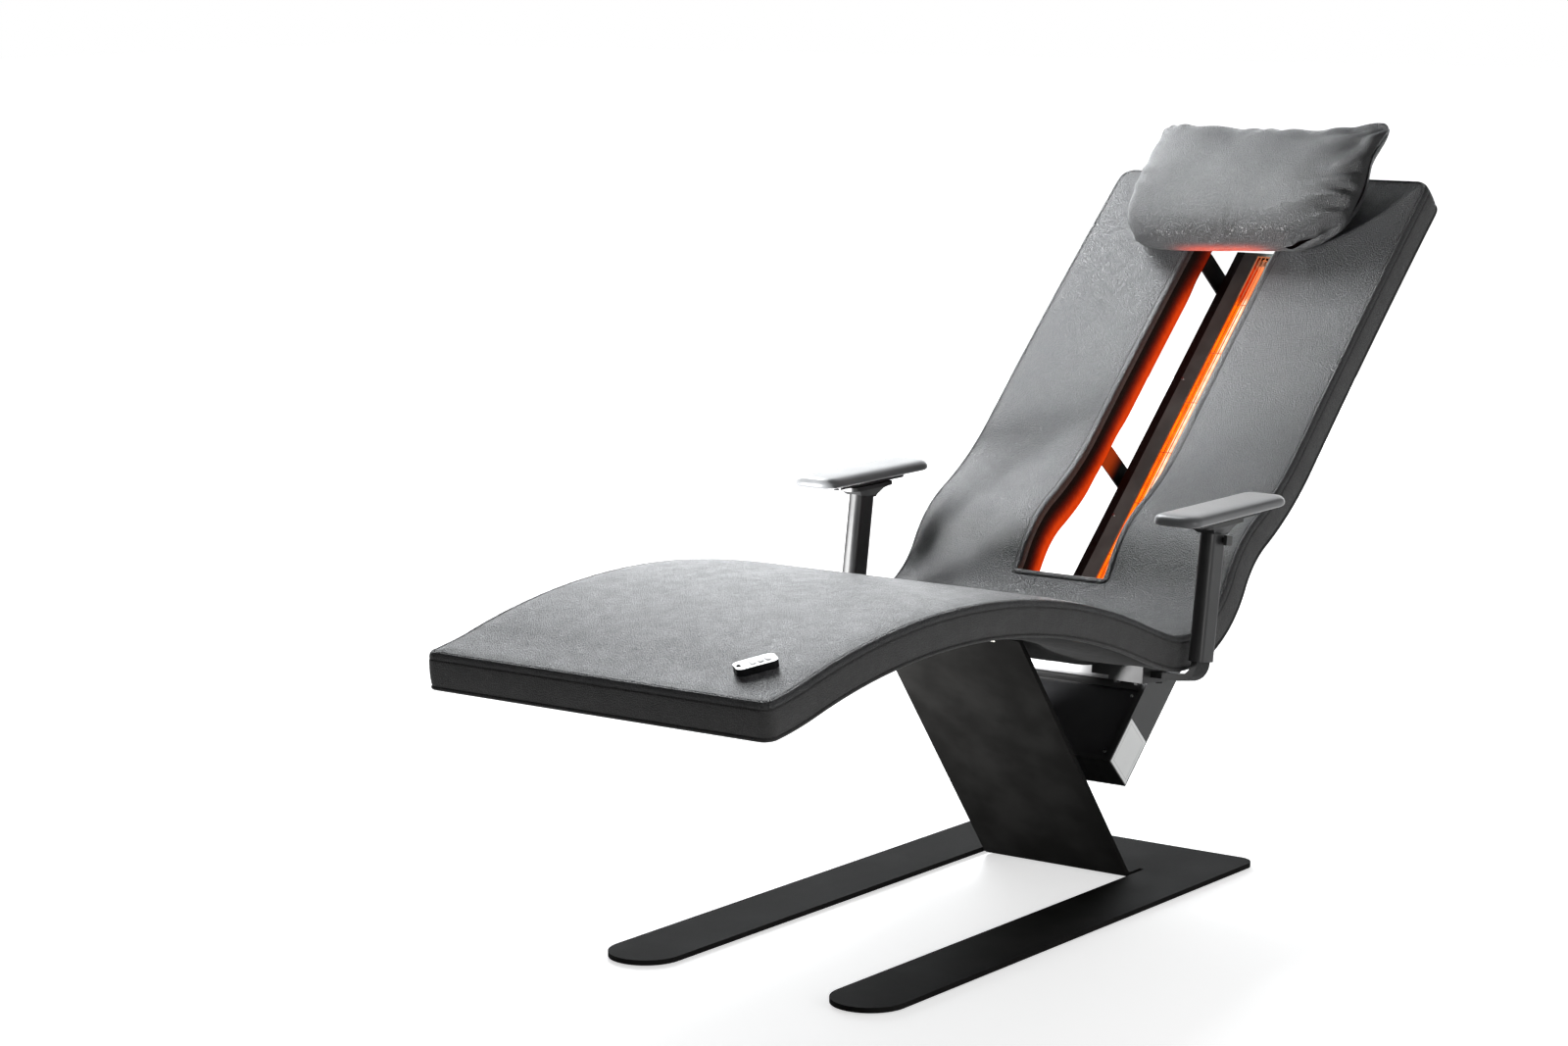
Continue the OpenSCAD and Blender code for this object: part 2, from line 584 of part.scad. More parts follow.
// a strap that hangs from the shell on both sides of the slot and runs behind the housing
module strap(pair) {
    down = strap_down(pair);
    difference() {
        on_facet(pair, core_low) translate([0, strap_up, 0]) rotate([90, 0, 0]) linear_extrude(strut_w, center = true)
            strip([[-strap_foot_x, -strap_t / 2], [-strap_x - strap_t / 2, -strap_t / 2], [strap_in - strap_x - strap_t / 2, -down - strap_t / 2],
                [strap_x - strap_in + strap_t / 2, -down - strap_t / 2], [strap_x + strap_t / 2, -strap_t / 2], [strap_foot_x, -strap_t / 2]],
                strap_t * 1.5, strap_t);
        on_facet(pair, core_low) for (x = [-1, 1]) for (y = [-1, 1]) translate([x * strap_hole_x, strap_up + y * strut_w / 4, -strap_t - cut])
            cylinder(h = strap_t + 2 * cut, d = small_d + bolt_fit);
        back_frame() block([-ir_w / 2, ir_t0, ir_rear], [ir_w, ir_len, ir_d]);
    }
}
module ir_strap_low() { color([0.06, 0.06, 0.06]) strap(low_strut_s); }
module ir_strap_top() { color([0.06, 0.06, 0.06]) strap(top_strut_s); }
module strap_screws() {
    color([0.2, 0.2, 0.2]) for (pair = [low_strut_s, top_strut_s]) on_facet(pair, core_low)
        for (x = [-1, 1]) for (y = [-1, 1]) translate([x * strap_hole_x, strap_up + y * strut_w / 4, -strap_t]) mirror([0, 0, 1]) dome_screw(small_d, small_head, strap_t - 2 * tiny);
}

// control box
box_t1 = ir_t0 + 68;
box_t0 = box_t1 - box_len;
box_rear = ir_rear - box_d;
box_front_t = 6.5;
panel_t = 1.5;
panel_deep = 3.5;
panel_t0 = box_t0 + box_rim;
lip = 20;
hanger_t = 3;
hanger_w = 262;
hanger_half = norm(path_point(hanger_s[1], core_low) - path_point(hanger_s[0], core_low)) / 2;
hanger_a = facet_angle(hanger_s, core_low);
hanger_top = facet_mid(hanger_s, core_low) - hanger_t / 2 * up_of(hanger_a);
// a point of the back frame in y and z
function back_yz(t, h) = [back_y + t * cos(back_angle) - h * sin(back_angle), t * sin(back_angle) + h * cos(back_angle)];
hanger_lap = 24;
hanger_foot_t = panel_t0 + panel_len + 8;
hanger_foot = back_yz(hanger_foot_t, ir_rear + hanger_t / 2);
hanger_up_z = hanger_top[1] + (hanger_foot[0] - hanger_top[0]) * tan(hanger_a);
module box_hanger() {
    color([0.3, 0.3, 0.31]) difference() {
        side_prism(hanger_w) strip([back_yz(hanger_foot_t + hanger_lap, ir_rear + hanger_t / 2), hanger_foot, [hanger_foot[0], hanger_up_z],
            hanger_top - hanger_half * [cos(hanger_a), sin(hanger_a)]], hanger_t * 1.2, hanger_t);
        hanger_holes() translate([0, 0, -cut]) cylinder(h = hanger_t + 2 * cut, d = small_d + bolt_fit);
        back_frame() block([-ir_w / 2 - fit, ir_t0 - fit, ir_rear - fit], [ir_w + 2 * fit, ir_len, ir_d + 2 * fit]);
    }
}
hanger_hole_shares = [-0.42, -0.15, 0.15, 0.42];
module hanger_holes() {
    back_frame() for (k = hanger_hole_shares) translate([k * hanger_w, hanger_foot_t + hanger_lap * 0.6, ir_rear + hanger_t]) mirror([0, 0, 1]) children();
    on_facet(hanger_s, core_low) for (k = hanger_hole_shares) translate([k * hanger_w, -hanger_half * 0.45, -hanger_t]) children();
}
module hanger_screws() {
    color([0.75, 0.76, 0.78]) hanger_holes() mirror([0, 0, 1]) dome_screw(small_d, small_head, hanger_t - cut);
}
inlet_x = -box_w * 0.3;
inlet_t = box_t0 + 48;
inlet_w = 50;
inlet_l = 28;
inlet_deep = 18;
inlet_flange = 2;
module box_body() {
    color([0.09, 0.09, 0.1]) back_frame() difference() {
        block([-box_w / 2, box_t0, box_rear], [box_w, box_len, box_d]);
        block([-box_w / 2 + sheet_t, box_t0 + sheet_t, box_rear + sheet_t], [box_w - 2 * sheet_t, box_len - 2 * sheet_t, box_d - sheet_t - box_front_t]);
        block([-box_w / 2 + box_rim, panel_t0, ir_rear - panel_deep - panel_t], [box_w - 2 * box_rim, panel_len, box_d]);
        block([-box_w / 2 + box_rim + lip, panel_t0 + lip, ir_rear - 2 * box_front_t], [box_w - 2 * box_rim - 2 * lip, panel_len - 2 * lip, box_d]);
        translate([0, lead_t, ir_rear - box_front_t - cut]) cylinder(h = box_front_t + 2 * cut, d = grommet_d);
        for (k = hanger_hole_shares) translate([k * hanger_w, hanger_foot_t + hanger_lap * 0.6, ir_rear - box_front_t]) cylinder(h = 2 * box_front_t, d = small_d + bolt_fit);
        block([inlet_x - inlet_w / 2 + inlet_flange, inlet_t - inlet_l / 2 + inlet_flange, box_rear - cut], [inlet_w - 2 * inlet_flange, inlet_l - 2 * inlet_flange, sheet_t + 2 * cut]);
    }
}
module panel_screw_places() {
    back_frame() for (x = [-1, 1]) for (t = [panel_t0 + lip / 2, panel_t0 + panel_len - lip / 2])
        translate([x * (box_w / 2 - box_rim - lip / 2), t, ir_rear - panel_deep]) children();
}
module box_panel() {
    color([0.05, 0.05, 0.055]) difference() {
        back_frame() block([-box_w / 2 + box_rim + fit, panel_t0 + fit, ir_rear - panel_deep - panel_t], [box_w - 2 * box_rim - 2 * fit, panel_len - 2 * fit, panel_t]);
        panel_screw_places() translate([0, 0, -panel_t - cut]) cylinder(h = panel_t + 2 * cut, d = small_d + bolt_fit);
    }
}
module panel_screws() {
    color([0.75, 0.76, 0.78]) panel_screw_places() dome_screw(small_d, small_head, panel_t - tiny);
}
label_t = 0.4;
label_w_share = 0.92;
label_len = 84;
module rating_label() {
    color([0.9, 0.91, 0.9]) back_frame()
        block([box_w / 2, box_t0 + 2, box_rear + box_d * (1 - label_w_share) / 2], [label_t, label_len, box_d * label_w_share]);
}
pin_w = 2;
pin_l = 6;
pin_gap = 7;
module mains_inlet() {
    color([0.07, 0.07, 0.07]) back_frame() translate([inlet_x, inlet_t, box_rear]) {
        difference() {
            union() {
                block([-inlet_w / 2, -inlet_l / 2, -inlet_flange], [inlet_w, inlet_l, inlet_flange]);
                block([-inlet_w / 2 + inlet_flange + fit, -inlet_l / 2 + inlet_flange + fit, -tiny], [inlet_w - 2 * inlet_flange - 2 * fit, inlet_l - 2 * inlet_flange - 2 * fit, inlet_deep]);
            }
            block([-inlet_w / 2 + 3 * inlet_flange, -inlet_l / 2 + 2 * inlet_flange, -2 * inlet_flange], [inlet_w - 6 * inlet_flange, inlet_l - 4 * inlet_flange, inlet_deep]);
        }
        for (k = [-1, 0, 1]) block([k * pin_gap - pin_w / 2, k == 0 ? -pin_l : 0, -inlet_flange + 4], [pin_w, pin_l, inlet_deep - 4]);
    }
}
pcb_t = 1.6;
pcb_w = 110;
pcb_l = 90;
standoff = 6;
module control_board() {
    color([0.1, 0.35, 0.2]) back_frame() translate([0, lead_t - 15, box_rear + sheet_t]) {
        block([-pcb_w / 2, -pcb_l / 2, standoff], [pcb_w, pcb_l, pcb_t]);
        for (x = [-1, 1]) for (y = [-1, 1]) translate([x * (pcb_w / 2 - standoff), y * (pcb_l / 2 - standoff), 0]) cylinder(h = standoff, d = standoff);
        block([-3 * lead_x, 15 - 2 * lead_x, standoff + pcb_t], [6 * lead_x, 4 * lead_x, terminal_h]);
        block([-pcb_w / 3, -pcb_l / 3, standoff + pcb_t], [pcb_w / 4, pcb_l / 4, terminal_h]);
        block([pcb_w / 6, -pcb_l / 3, standoff + pcb_t], [pcb_w / 5, pcb_l / 3, terminal_h / 2]);
    }
}
power_w = 110;
power_l = 60;
power_h = 34;
module power_unit() {
    color([0.6, 0.62, 0.64]) back_frame() block([box_w / 2 - power_w - 3 * box_rim, box_t0 + 2 * box_rim, box_rear + sheet_t], [power_w, power_l, power_h]);
}

// armrests
arm_x = shell_w / 2 + arm_gap;
arm_drop = 15.5;
arm_shift = 9;
arm_o = facet_mid(arm_s, core_low) + [arm_shift, -arm_drop];
bend_r = 25;
limb_len = 162;
up_len = 165;
// how far inside the upright the clamp block begins, steps down and ends
block_reach = 170;
block_tongue = 35;
block_near = 74;
block_x = [arm_x - block_reach, arm_x - block_reach + block_tongue, arm_x - block_near];
block_d = 76;
block_shift = 5;
block_h = 27;
block_step = 6;
block_bolt_in = 12;
block_bolt_y = block_d / 2 - 6;
module arm_frame(side) {
    mirror([side < 0 ? 1 : 0, 0, 0]) translate([arm_x, arm_o[0], arm_o[1]]) rotate([-arm_lean, 0, 0]) children();
}
module block_bolts(side) {
    on_facet(arm_s, core_low) for (x = [block_x[1] + block_bolt_in, block_x[2] - block_bolt_in]) for (y = [-block_bolt_y, block_bolt_y])
        translate([side * x, block_shift + y, -block_h]) children();
}
module arm_block(side) {
    difference() {
        on_facet(arm_s, core_low) mirror([side < 0 ? 1 : 0, 0, 0]) {
            block([block_x[1], block_shift - block_d / 2, -block_h], [block_x[2] - block_x[1], block_d, block_h]);
            block([block_x[0], block_shift - block_d / 2 + block_step, -block_h + block_step], [block_x[1] - block_x[0] + tiny, block_d - 2 * block_step, block_h - block_step]);
        }
        arm_frame(side) block([-arm_x, -bar_w / 2 - fit / 2, -bar_t / 2 - fit / 2], [arm_x, bar_w + fit, bar_t + fit]);
        block_bolts(side) translate([0, 0, -cut]) cylinder(h = block_h + 2 * cut, d = block_bolt_d + bolt_fit);
    }
}
module arm_block_left() { color([0.05, 0.05, 0.05]) arm_block(1); }
module arm_block_right() { color([0.05, 0.05, 0.05]) arm_block(-1); }
module arm_block_bolts() {
    color([0.7, 0.7, 0.72]) for (side = [-1, 1]) block_bolts(side) hex_bolt(block_bolt_d, block_h + core_t - 2 * cut);
}
module arm_bracket(side) {
    arm_frame(side) rotate([90, 0, 0]) linear_extrude(bar_w, center = true) strip([[-limb_len, 0], [0, 0], [0, up_len]], bend_r, bar_t);
}
module arm_bracket_left() { color([0.08, 0.08, 0.08]) arm_bracket(1); }
module arm_bracket_right() { color([0.08, 0.08, 0.08]) arm_bracket(-1); }

sleeve_r = 11;
sleeve_z0 = 28;
head_t = 6;
head_w = 50;
head_len = 110;
flare = 14;
rail_w = 30;
rail_h = 4;
sleeve_z1 = head_up - head_t - flare;
button_w = 16;
button_y = 12;
button_h = 15;
button_down = 1;
button_z = sleeve_z1 - button_h / 2 - button_down;
button_out = 5.5;
button_gap = 4.5;
stem_w = 8;
stem_in = 7;
neck = (sleeve_z1 - head_up) * [sin(arm_lean), cos(arm_lean)];
lean_side = [cos(arm_lean), -sin(arm_lean)];
head_yz = arm_o + head_up * [sin(arm_lean), cos(arm_lean)];
module head_frame(side) {
    mirror([side < 0 ? 1 : 0, 0, 0]) translate([arm_x, head_yz[0], head_yz[1]]) children();
}
module arm_sleeve(side) {
    difference() {
        union() {
            arm_frame(side) translate([0, 0, sleeve_z0]) linear_extrude(sleeve_z1 - sleeve_z0 + cut) round_rect(sleeve_w, sleeve_d, sleeve_r);
            head_frame(side) intersection() {
                side_prism(head_w) polygon([neck - sleeve_d * 0.46 * lean_side, neck + sleeve_d * 0.46 * lean_side, [head_len * 0.3, -head_t * 1.6], [head_len * 0.46, -head_t], [-head_len * 0.34, -head_t]]);
                rotate([90, 0, 0]) linear_extrude(head_len, center = true)
                    polygon([[-sleeve_w / 2, neck[1] - sleeve_d], [sleeve_w / 2, neck[1] - sleeve_d], [sleeve_w / 2, neck[1]], [head_w / 2 - 4 * cut, -head_t], [-head_w / 2 + 4 * cut, -head_t], [-sleeve_w / 2, neck[1]]]);
            }
            head_frame(side) translate([0, 0, -head_t]) linear_extrude(head_t) round_rect(head_w, head_len, sleeve_r);
            head_frame(side) block([-rail_w / 2, -head_len / 2, -cut], [rail_w, head_len, rail_h + cut]);
        }
        arm_frame(side) block([-bar_t / 2 - fit, -bar_w / 2 - fit, sleeve_z0 - cut], [bar_t + 2 * fit, bar_w + 2 * fit, up_len - sleeve_z0 + cut + fit]);
        arm_frame(side) block([sleeve_w / 2 - stem_in - button_gap, button_y - stem_w / 2 - fit, button_z - stem_w / 2 - fit], [2 * sleeve_w, stem_w + 2 * fit, stem_w + 2 * fit]);
    }
}
module arm_sleeve_left() { color([0.1, 0.1, 0.11]) arm_sleeve(1); }
module arm_sleeve_right() { color([0.1, 0.1, 0.11]) arm_sleeve(-1); }
module arm_button(side) {
    arm_frame(side) {
        block([sleeve_w / 2 + button_gap, button_y - button_w / 2, button_z - button_h / 2], [button_out, button_w, button_h]);
        block([sleeve_w / 2 - stem_in, button_y - stem_w / 2, button_z - stem_w / 2], [stem_in + button_gap + tiny, stem_w, stem_w]);
    }
}
module arm_button_left() { color([0.06, 0.06, 0.06]) arm_button(1); }
module arm_button_right() { color([0.06, 0.06, 0.06]) arm_button(-1); }
base_t = 7;
pad_out = 6;
pad_shift = 5;
base_in = 18;
module arm_base(side) {
    head_frame(side) difference() {
        translate([pad_out, pad_shift, fit]) linear_extrude(base_t) round_rect(pad_w - 2 * base_in, pad_len - 5 * base_in, sleeve_r);
        block([-rail_w / 2 - fit, -head_len / 2 - pad_travel - fit, -cut], [rail_w + 2 * fit, head_len + 2 * pad_travel + 2 * fit, rail_h + fit + cut]);
    }
}
module arm_base_left() { color([0.06, 0.06, 0.06]) arm_base(1); }
module arm_base_right() { color([0.06, 0.06, 0.06]) arm_base(-1); }
pad_corner = 30;
pad_edge = 9;
module arm_pad(side) {
    head_frame(side) translate([pad_out, pad_shift, fit + base_t]) hull() for (x = [-1, 1]) for (y = [-1, 1])
        translate([x * (pad_w / 2 - pad_corner), y * (pad_len / 2 - pad_corner), 0]) rotate_extrude($fn = 32) {
            square([pad_corner - pad_edge, pad_t]);
            translate([0, pad_t * 0.15]) square([pad_corner, pad_t * 0.4]);
            translate([pad_corner - pad_edge, pad_t - pad_edge]) circle(pad_edge, $fn = 16);
        }
}
module arm_pad_left() { color([0.2, 0.21, 0.22]) arm_pad(1); }
module arm_pad_right() { color([0.2, 0.21, 0.22]) arm_pad(-1); }

// pillow
pillow_down = 85;
pillow_s = total_s - pillow_down;
pillow_x = 9;
strip_t = 1.5;
pillow_lift = surface_h + fit;
// one ring of the pillow at a share u of its half length, from -1 to 1
pillow_end = 0.42;
pillow_ear = 0.06;
pillow_steps = 10;
ring_n = 20;
flat_share = 0.42;
function pillow_ring(u) = let (k = pow(max(1 - u * u, 0), pillow_end), half = pillow_h / 2 * (1 - pillow_ear + pillow_ear * pow(abs(u), 4)) * (0.5 + 0.5 * pow(max(1 - pow(abs(u), 12), 0), 0.5)),
        thick = pillow_t * (0.12 + 0.88 * k))
    [for (i = [0 : ring_n - 1]) let (a = 360 * i / ring_n, c = cos(a), d = sin(a))
        [half * sign(c) * pow(abs(c), 0.85), max(thick * (1 - flat_share) * sign(d) * pow(abs(d), 0.9), -thick * flat_share * 0.75)]];
pillow_shares = [for (i = [-pillow_steps : pillow_steps]) sin(90 * i / pillow_steps)];
module pillow() {
    color([0.33, 0.35, 0.37]) difference() {
        on_path(pillow_s, pillow_lift) translate([pillow_x, 0, pillow_t * flat_share * 0.75])
            skin([for (u = pillow_shares) [for (p = pillow_ring(u)) [u * pillow_len / 2, p[0], p[1]]]]);
        strips(fit);
    }
}
strip_w = 34;
strip_len = 110;
module strips(grow) {
    on_path(pillow_s, pillow_lift) for (x = [-1, 1])
        block([pillow_x + x * pillow_len * 0.3 - strip_w / 2 - grow, -strip_len / 2 - grow, -grow], [strip_w + 2 * grow, strip_len + 2 * grow, strip_t + grow]);
}
module pillow_strips() {
    color([0.05, 0.05, 0.05]) strips(0);
}

// remote
remote_s = 100;
remote_in = 91;
remote_x = shell_w / 2 - remote_in;
remote_turn = 54;
remote_r = 9;
remote_wall = 1.2;
ring_l = 9;
ring_w = 6;
ring_in = 3;
plate_len = 42;
plate_w = 25;
plate_deep = 1.2;
key_l = 13;
key_w = 7;
key_step = 11;
key_x = 7;
key_up = 0.9;
module remote_frame() {
    on_path(remote_s, surface_h + 2 * fit) translate([remote_x, 0, 0]) rotate([0, 0, remote_turn]) children();
}
module key_2d(grow) {
    round_rect(key_w + 2 * grow, key_l + 2 * grow, key_w / 2 - tiny);
}
module remote_case() {
    color([0.05, 0.05, 0.055]) remote_frame() difference() {
        linear_extrude(remote_t) round_rect(remote_len, remote_w, remote_r);
        translate([key_x, 0, remote_wall]) linear_extrude(remote_t - 2 * remote_wall - plate_deep) round_rect(plate_len - 4, plate_w, remote_r / 2);
        translate([key_x, 0, remote_t - plate_deep]) linear_extrude(remote_t) round_rect(plate_len, plate_w, remote_r);
        for (i = [-1, 0, 1]) translate([key_x + i * key_step, 0, remote_wall + pcb_t]) linear_extrude(remote_t) key_2d(fit);
        translate([-remote_len / 2 + ring_in + ring_w / 2, 0, -cut]) linear_extrude(remote_t + 2 * cut) round_rect(ring_w, ring_l, ring_w / 2 - tiny);
    }
}
module remote_plate() {
    color([0.62, 0.63, 0.64]) remote_frame() translate([key_x, 0, remote_t - plate_deep]) linear_extrude(plate_deep) difference() {
        round_rect(plate_len - 2 * fit, plate_w - 2 * fit, remote_r - fit);
        for (i = [-1, 0, 1]) translate([i * key_step, 0]) key_2d(fit);
    }
}
module remote_board() {
    color([0.1, 0.4, 0.2]) remote_frame() translate([key_x, 0, remote_wall]) linear_extrude(pcb_t) round_rect(plate_len - 5, plate_w - 1, remote_r / 2);
}
key_travel = 0.8;
module key(i) {
    color([0.78, 0.79, 0.8]) remote_frame() translate([key_x + i * key_step, 0, remote_wall + pcb_t + key_travel + fit])
        linear_extrude(remote_t + key_up - remote_wall - pcb_t - key_travel - fit) key_2d(0);
}
module key_1() { key(-1); }
module key_2() { key(0); }
module key_3() { key(1); }

base_frame();
floor_glides();
pedestal_bolts();
shell_core();
upholstery();
underside_cover();
ir_housing();
ir_cover();
ir_cover_screws();
reflector();
quartz_tube();
filament();
tube_holders();
wire_guard();
lamp_leads();
lead_grommet();
ir_strap_low();
ir_strap_top();
strap_screws();
box_hanger();
hanger_screws();
box_body();
box_panel();
panel_screws();
rating_label();
mains_inlet();
control_board();
power_unit();
arm_block_left();
arm_block_right();
arm_block_bolts();
arm_bracket_left();
arm_bracket_right();
arm_sleeve_left();
arm_sleeve_right();
arm_button_left();
arm_button_right();
arm_base_left();
arm_base_right();
arm_pad_left();
arm_pad_right();
pillow();
pillow_strips();
remote_case();
remote_plate();
remote_board();
key_1();
key_2();
key_3();
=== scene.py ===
"""The infrared lounger, dressed: leatherette shell, pillow, pads, metal, lamp, light and camera."""
import math
import bpy
import numpy as np
from mathutils import Matrix, Vector


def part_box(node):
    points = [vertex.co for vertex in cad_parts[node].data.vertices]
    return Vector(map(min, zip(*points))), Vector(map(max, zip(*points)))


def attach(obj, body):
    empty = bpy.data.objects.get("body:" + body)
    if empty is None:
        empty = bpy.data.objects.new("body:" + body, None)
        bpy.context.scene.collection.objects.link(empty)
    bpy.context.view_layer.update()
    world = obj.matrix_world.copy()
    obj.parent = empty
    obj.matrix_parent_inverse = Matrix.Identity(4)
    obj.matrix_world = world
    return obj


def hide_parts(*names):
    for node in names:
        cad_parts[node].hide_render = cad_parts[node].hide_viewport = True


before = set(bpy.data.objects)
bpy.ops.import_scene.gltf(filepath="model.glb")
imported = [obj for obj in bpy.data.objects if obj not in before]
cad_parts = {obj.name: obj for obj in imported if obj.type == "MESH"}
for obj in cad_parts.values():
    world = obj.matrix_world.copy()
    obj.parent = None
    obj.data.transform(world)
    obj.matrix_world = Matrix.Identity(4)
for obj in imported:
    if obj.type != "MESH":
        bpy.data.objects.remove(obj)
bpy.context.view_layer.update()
bpy.ops.object.select_all(action="DESELECT")

# sizes, in metres, as in the part's source
# the shell's side line as arcs: how long each is, and how far it turns in degrees
SIDE_ARCS = [
    (0.097, 8.8), (0.872, -36.7), (0.070, 5.0), (0.210, 77.8), (0.112, -33.5), (0.164, 17.6), (0.593, -2.8)]
ARC_STEPS_PER_METRE = 2000
FOOT_END = (-0.936693, 0.501)
FOOT_SLOPE = 5.4
HALF_W = 0.304
FOOT_CORNER = 0.018
BACK_CORNER = 0.028

# the slot in the back, along the shell
SLOT_X = 0.080
SLOT_LOW = 1.2175
SLOT_HIGH = 2.026085

# how the padded top rises from its edges
SHOULDER = 0.009
SHOULDER_RUN = 0.008
CROWN = 0.003
CROWN_RUN = 0.075
TOP = SHOULDER + CROWN
SLOT_RIM = 0.006

# seams: how far from the shell's edge and from the slot the stitches run, and how far apart they are
OUTER_STITCH = 0.0077
SLOT_STITCH = 0.0120
PITCH = 0.0049

# the lamp, in the frame of the leaning back
FOLD_Y = 0.237306
BACK_ANGLE = math.radians(43.5)
LAMP_FRONT = 0.247
LAMP_LOW = 0.262
LAMP_LONG = 0.856

# the pillow: its place along the shell and across it, and its width, height and thickness
PILLOW_S = 2.033
PILLOW_X = 0.009
PILLOW = (0.432, 0.272, 0.105)

# an armrest pad: width and length, and the corners of its outline
PAD = (0.080, 0.288)
PAD_CORNER = 0.022


def side_line():
    """The shell's upper seam from the side: length so far, slope, y and z."""
    rows = [(0.0, math.radians(FOOT_SLOPE), *FOOT_END)]
    for length, turn in SIDE_ARCS:
        n = round(length * ARC_STEPS_PER_METRE)
        step = length / n
        bend = math.radians(turn) / n
        for _ in range(n):
            s, a, y, z = rows[-1]
            mid = a + bend / 2
            rows.append((s + step, a + bend, y + step * math.cos(mid), z + step * math.sin(mid)))
    return np.array(rows).T


LINE_S, LINE_A, LINE_Y, LINE_Z = side_line()
TOTAL = LINE_S[-1]


def wrap(flat):
    """Wraps points laid out flat (across, along, up from the upper seam) round the shell's side line."""
    flat = np.atleast_2d(np.asarray(flat, float))
    s = np.clip(flat[:, 1], 0, TOTAL)
    over = flat[:, 1] - s
    a = np.interp(s, LINE_S, LINE_A)
    y = np.interp(s, LINE_S, LINE_Y) + over * np.cos(a) - flat[:, 2] * np.sin(a)
    z = np.interp(s, LINE_S, LINE_Z) + over * np.sin(a) + flat[:, 2] * np.cos(a)
    return np.stack([flat[:, 0], y, z], 1)


def edge_gap(x, s):
    """How far inside the shell's outline a flat point lies."""
    r = np.where(s < TOTAL / 2, FOOT_CORNER, BACK_CORNER)
    qx = np.abs(x) - (HALF_W - r)
    qs = np.abs(s - TOTAL / 2) - (TOTAL / 2 - r)
    return r - np.hypot(np.maximum(qx, 0), np.maximum(qs, 0)) - np.minimum(np.maximum(qx, qs), 0)


def slot_gap(x, s):
    """How far outside the slot a flat point lies."""
    qx = np.abs(x) - SLOT_X
    qs = np.abs(s - (SLOT_LOW + SLOT_HIGH) / 2) - (SLOT_HIGH - SLOT_LOW) / 2
    return np.hypot(np.maximum(qx, 0), np.maximum(qs, 0))


def ripple(x, s, pitch, seed):
    """Smooth uneven waves, always the same ones."""
    rng = np.random.default_rng(seed)
    waves = 7
    total = 0
    for _ in range(waves):
        a, p, k = rng.uniform(0, 2 * math.pi, 2).tolist() + [rng.uniform(0.6, 1.5)]
        total = total + np.sin(2 * math.pi * k / pitch * (x * math.cos(a) + s * math.sin(a)) + p)
    return total / waves


def dip(gap, at, width):
    """A bell-shaped line at one distance from an edge."""
    return np.exp(-((gap - at) / width) ** 2)


def quarter_round(gap, run):
    """Rises from 0 to 1 over the run like a rounded edge."""
    return np.sqrt(np.clip(1 - (1 - np.clip(gap, 0, run) / run) ** 2, 0, 1))


def crowned(gap):
    """Rises from 0 to 1 over the crown's run, fast at first."""
    return 1 - (1 - np.clip(gap, 0, CROWN_RUN) / CROWN_RUN) ** 2.6


# stitch channels and the lips beside them: how high, how far from the edge or slot, and how wide
EDGE_LINES = [(-0.0011, OUTER_STITCH, 0.0016), (0.0005, 0.0040, 0.0022), (-0.0007, 0.0125, 0.006)]
SLOT_LINES = [(-0.0010, SLOT_STITCH, 0.0017), (0.0005, 0.0070, 0.003), (-0.0013, SLOT_STITCH + 0.004, 0.011)]


def top_height(x, s):
    """Height of the padded top over the upper seam: rolled edges, a crown, and dips at its stitches."""
    edge = edge_gap(x, s)
    slot = slot_gap(x, s)
    off_slot = slot > 0
    h = SHOULDER * quarter_round(edge, SHOULDER_RUN) + CROWN * crowned(edge)
    h = h - SLOT_RIM * (1 - quarter_round(slot, SLOT_RIM))
    for high, at, wide in EDGE_LINES:
        h = h + high * dip(edge, at, wide)
    for high, at, wide in SLOT_LINES:
        h = h + high * dip(slot, at, wide) * off_slot
    # small puckers beside the seams, the pull of each stitch, and a slow unevenness all over
    h = h + 0.00035 * ripple(x, s, 0.021, 3) * (dip(edge, 0.010, 0.012) + dip(slot, 0.020, 0.012) * off_slot)
    along = np.where(np.abs(x) > HALF_W - 0.03, s, x)
    h = h + 0.00020 * np.sin(along * 2 * math.pi / 0.013) * dip(edge, OUTER_STITCH, 0.004)
    return h + 0.0004 * ripple(x, s, 0.19, 5) * np.clip(edge / 0.06, 0, 1) * np.clip(slot / 0.05, 0, 1)


def on_back(x, t, h):
    """A point of the lamp's own frame: across, up along the back, and out of its front."""
    c, k = math.cos(BACK_ANGLE), math.sin(BACK_ANGLE)
    return Vector((x, FOLD_Y + t * c - h * k, t * k + h * c))


# finishes
class Val:
    """One output of a finish's nodes, used in sums like a number."""

    def __init__(self, finish, socket):
        self.finish = finish
        self.socket = socket

    def sum(self, operation, *values):
        """One Math node on the values, in the order given."""
        inputs = {f"i{n}": value for n, value in enumerate(values)}
        return self.finish.add("Math", {"operation": operation}, **inputs)

    def __add__(self, other):
        return self.sum("ADD", self, other)

    def __sub__(self, other):
        return self.sum("SUBTRACT", self, other)

    def __mul__(self, other):
        return self.sum("MULTIPLY", self, other)

    def __truediv__(self, other):
        return self.sum("DIVIDE", self, other)

    def __pow__(self, other):
        return self.sum("POWER", self, other)

    __radd__ = __add__
    __rmul__ = __mul__

    def smallest(self, other):
        return self.sum("MINIMUM", self, other)

    def largest(self, other):
        return self.sum("MAXIMUM", self, other)

    def wave(self):
        return self.sum("SINE", self)

    def size(self):
        return self.sum("ABSOLUTE", self)

    def ramp(self, low, high, a=0.0, b=1.0):
        """Goes smoothly from a to b while the value goes from low to high."""
        smooth_step = {"interpolation_type": "SMOOTHSTEP"}
        return self.finish.add("MapRange", smooth_step, i0=self, i1=low, i2=high, i3=a, i4=b)


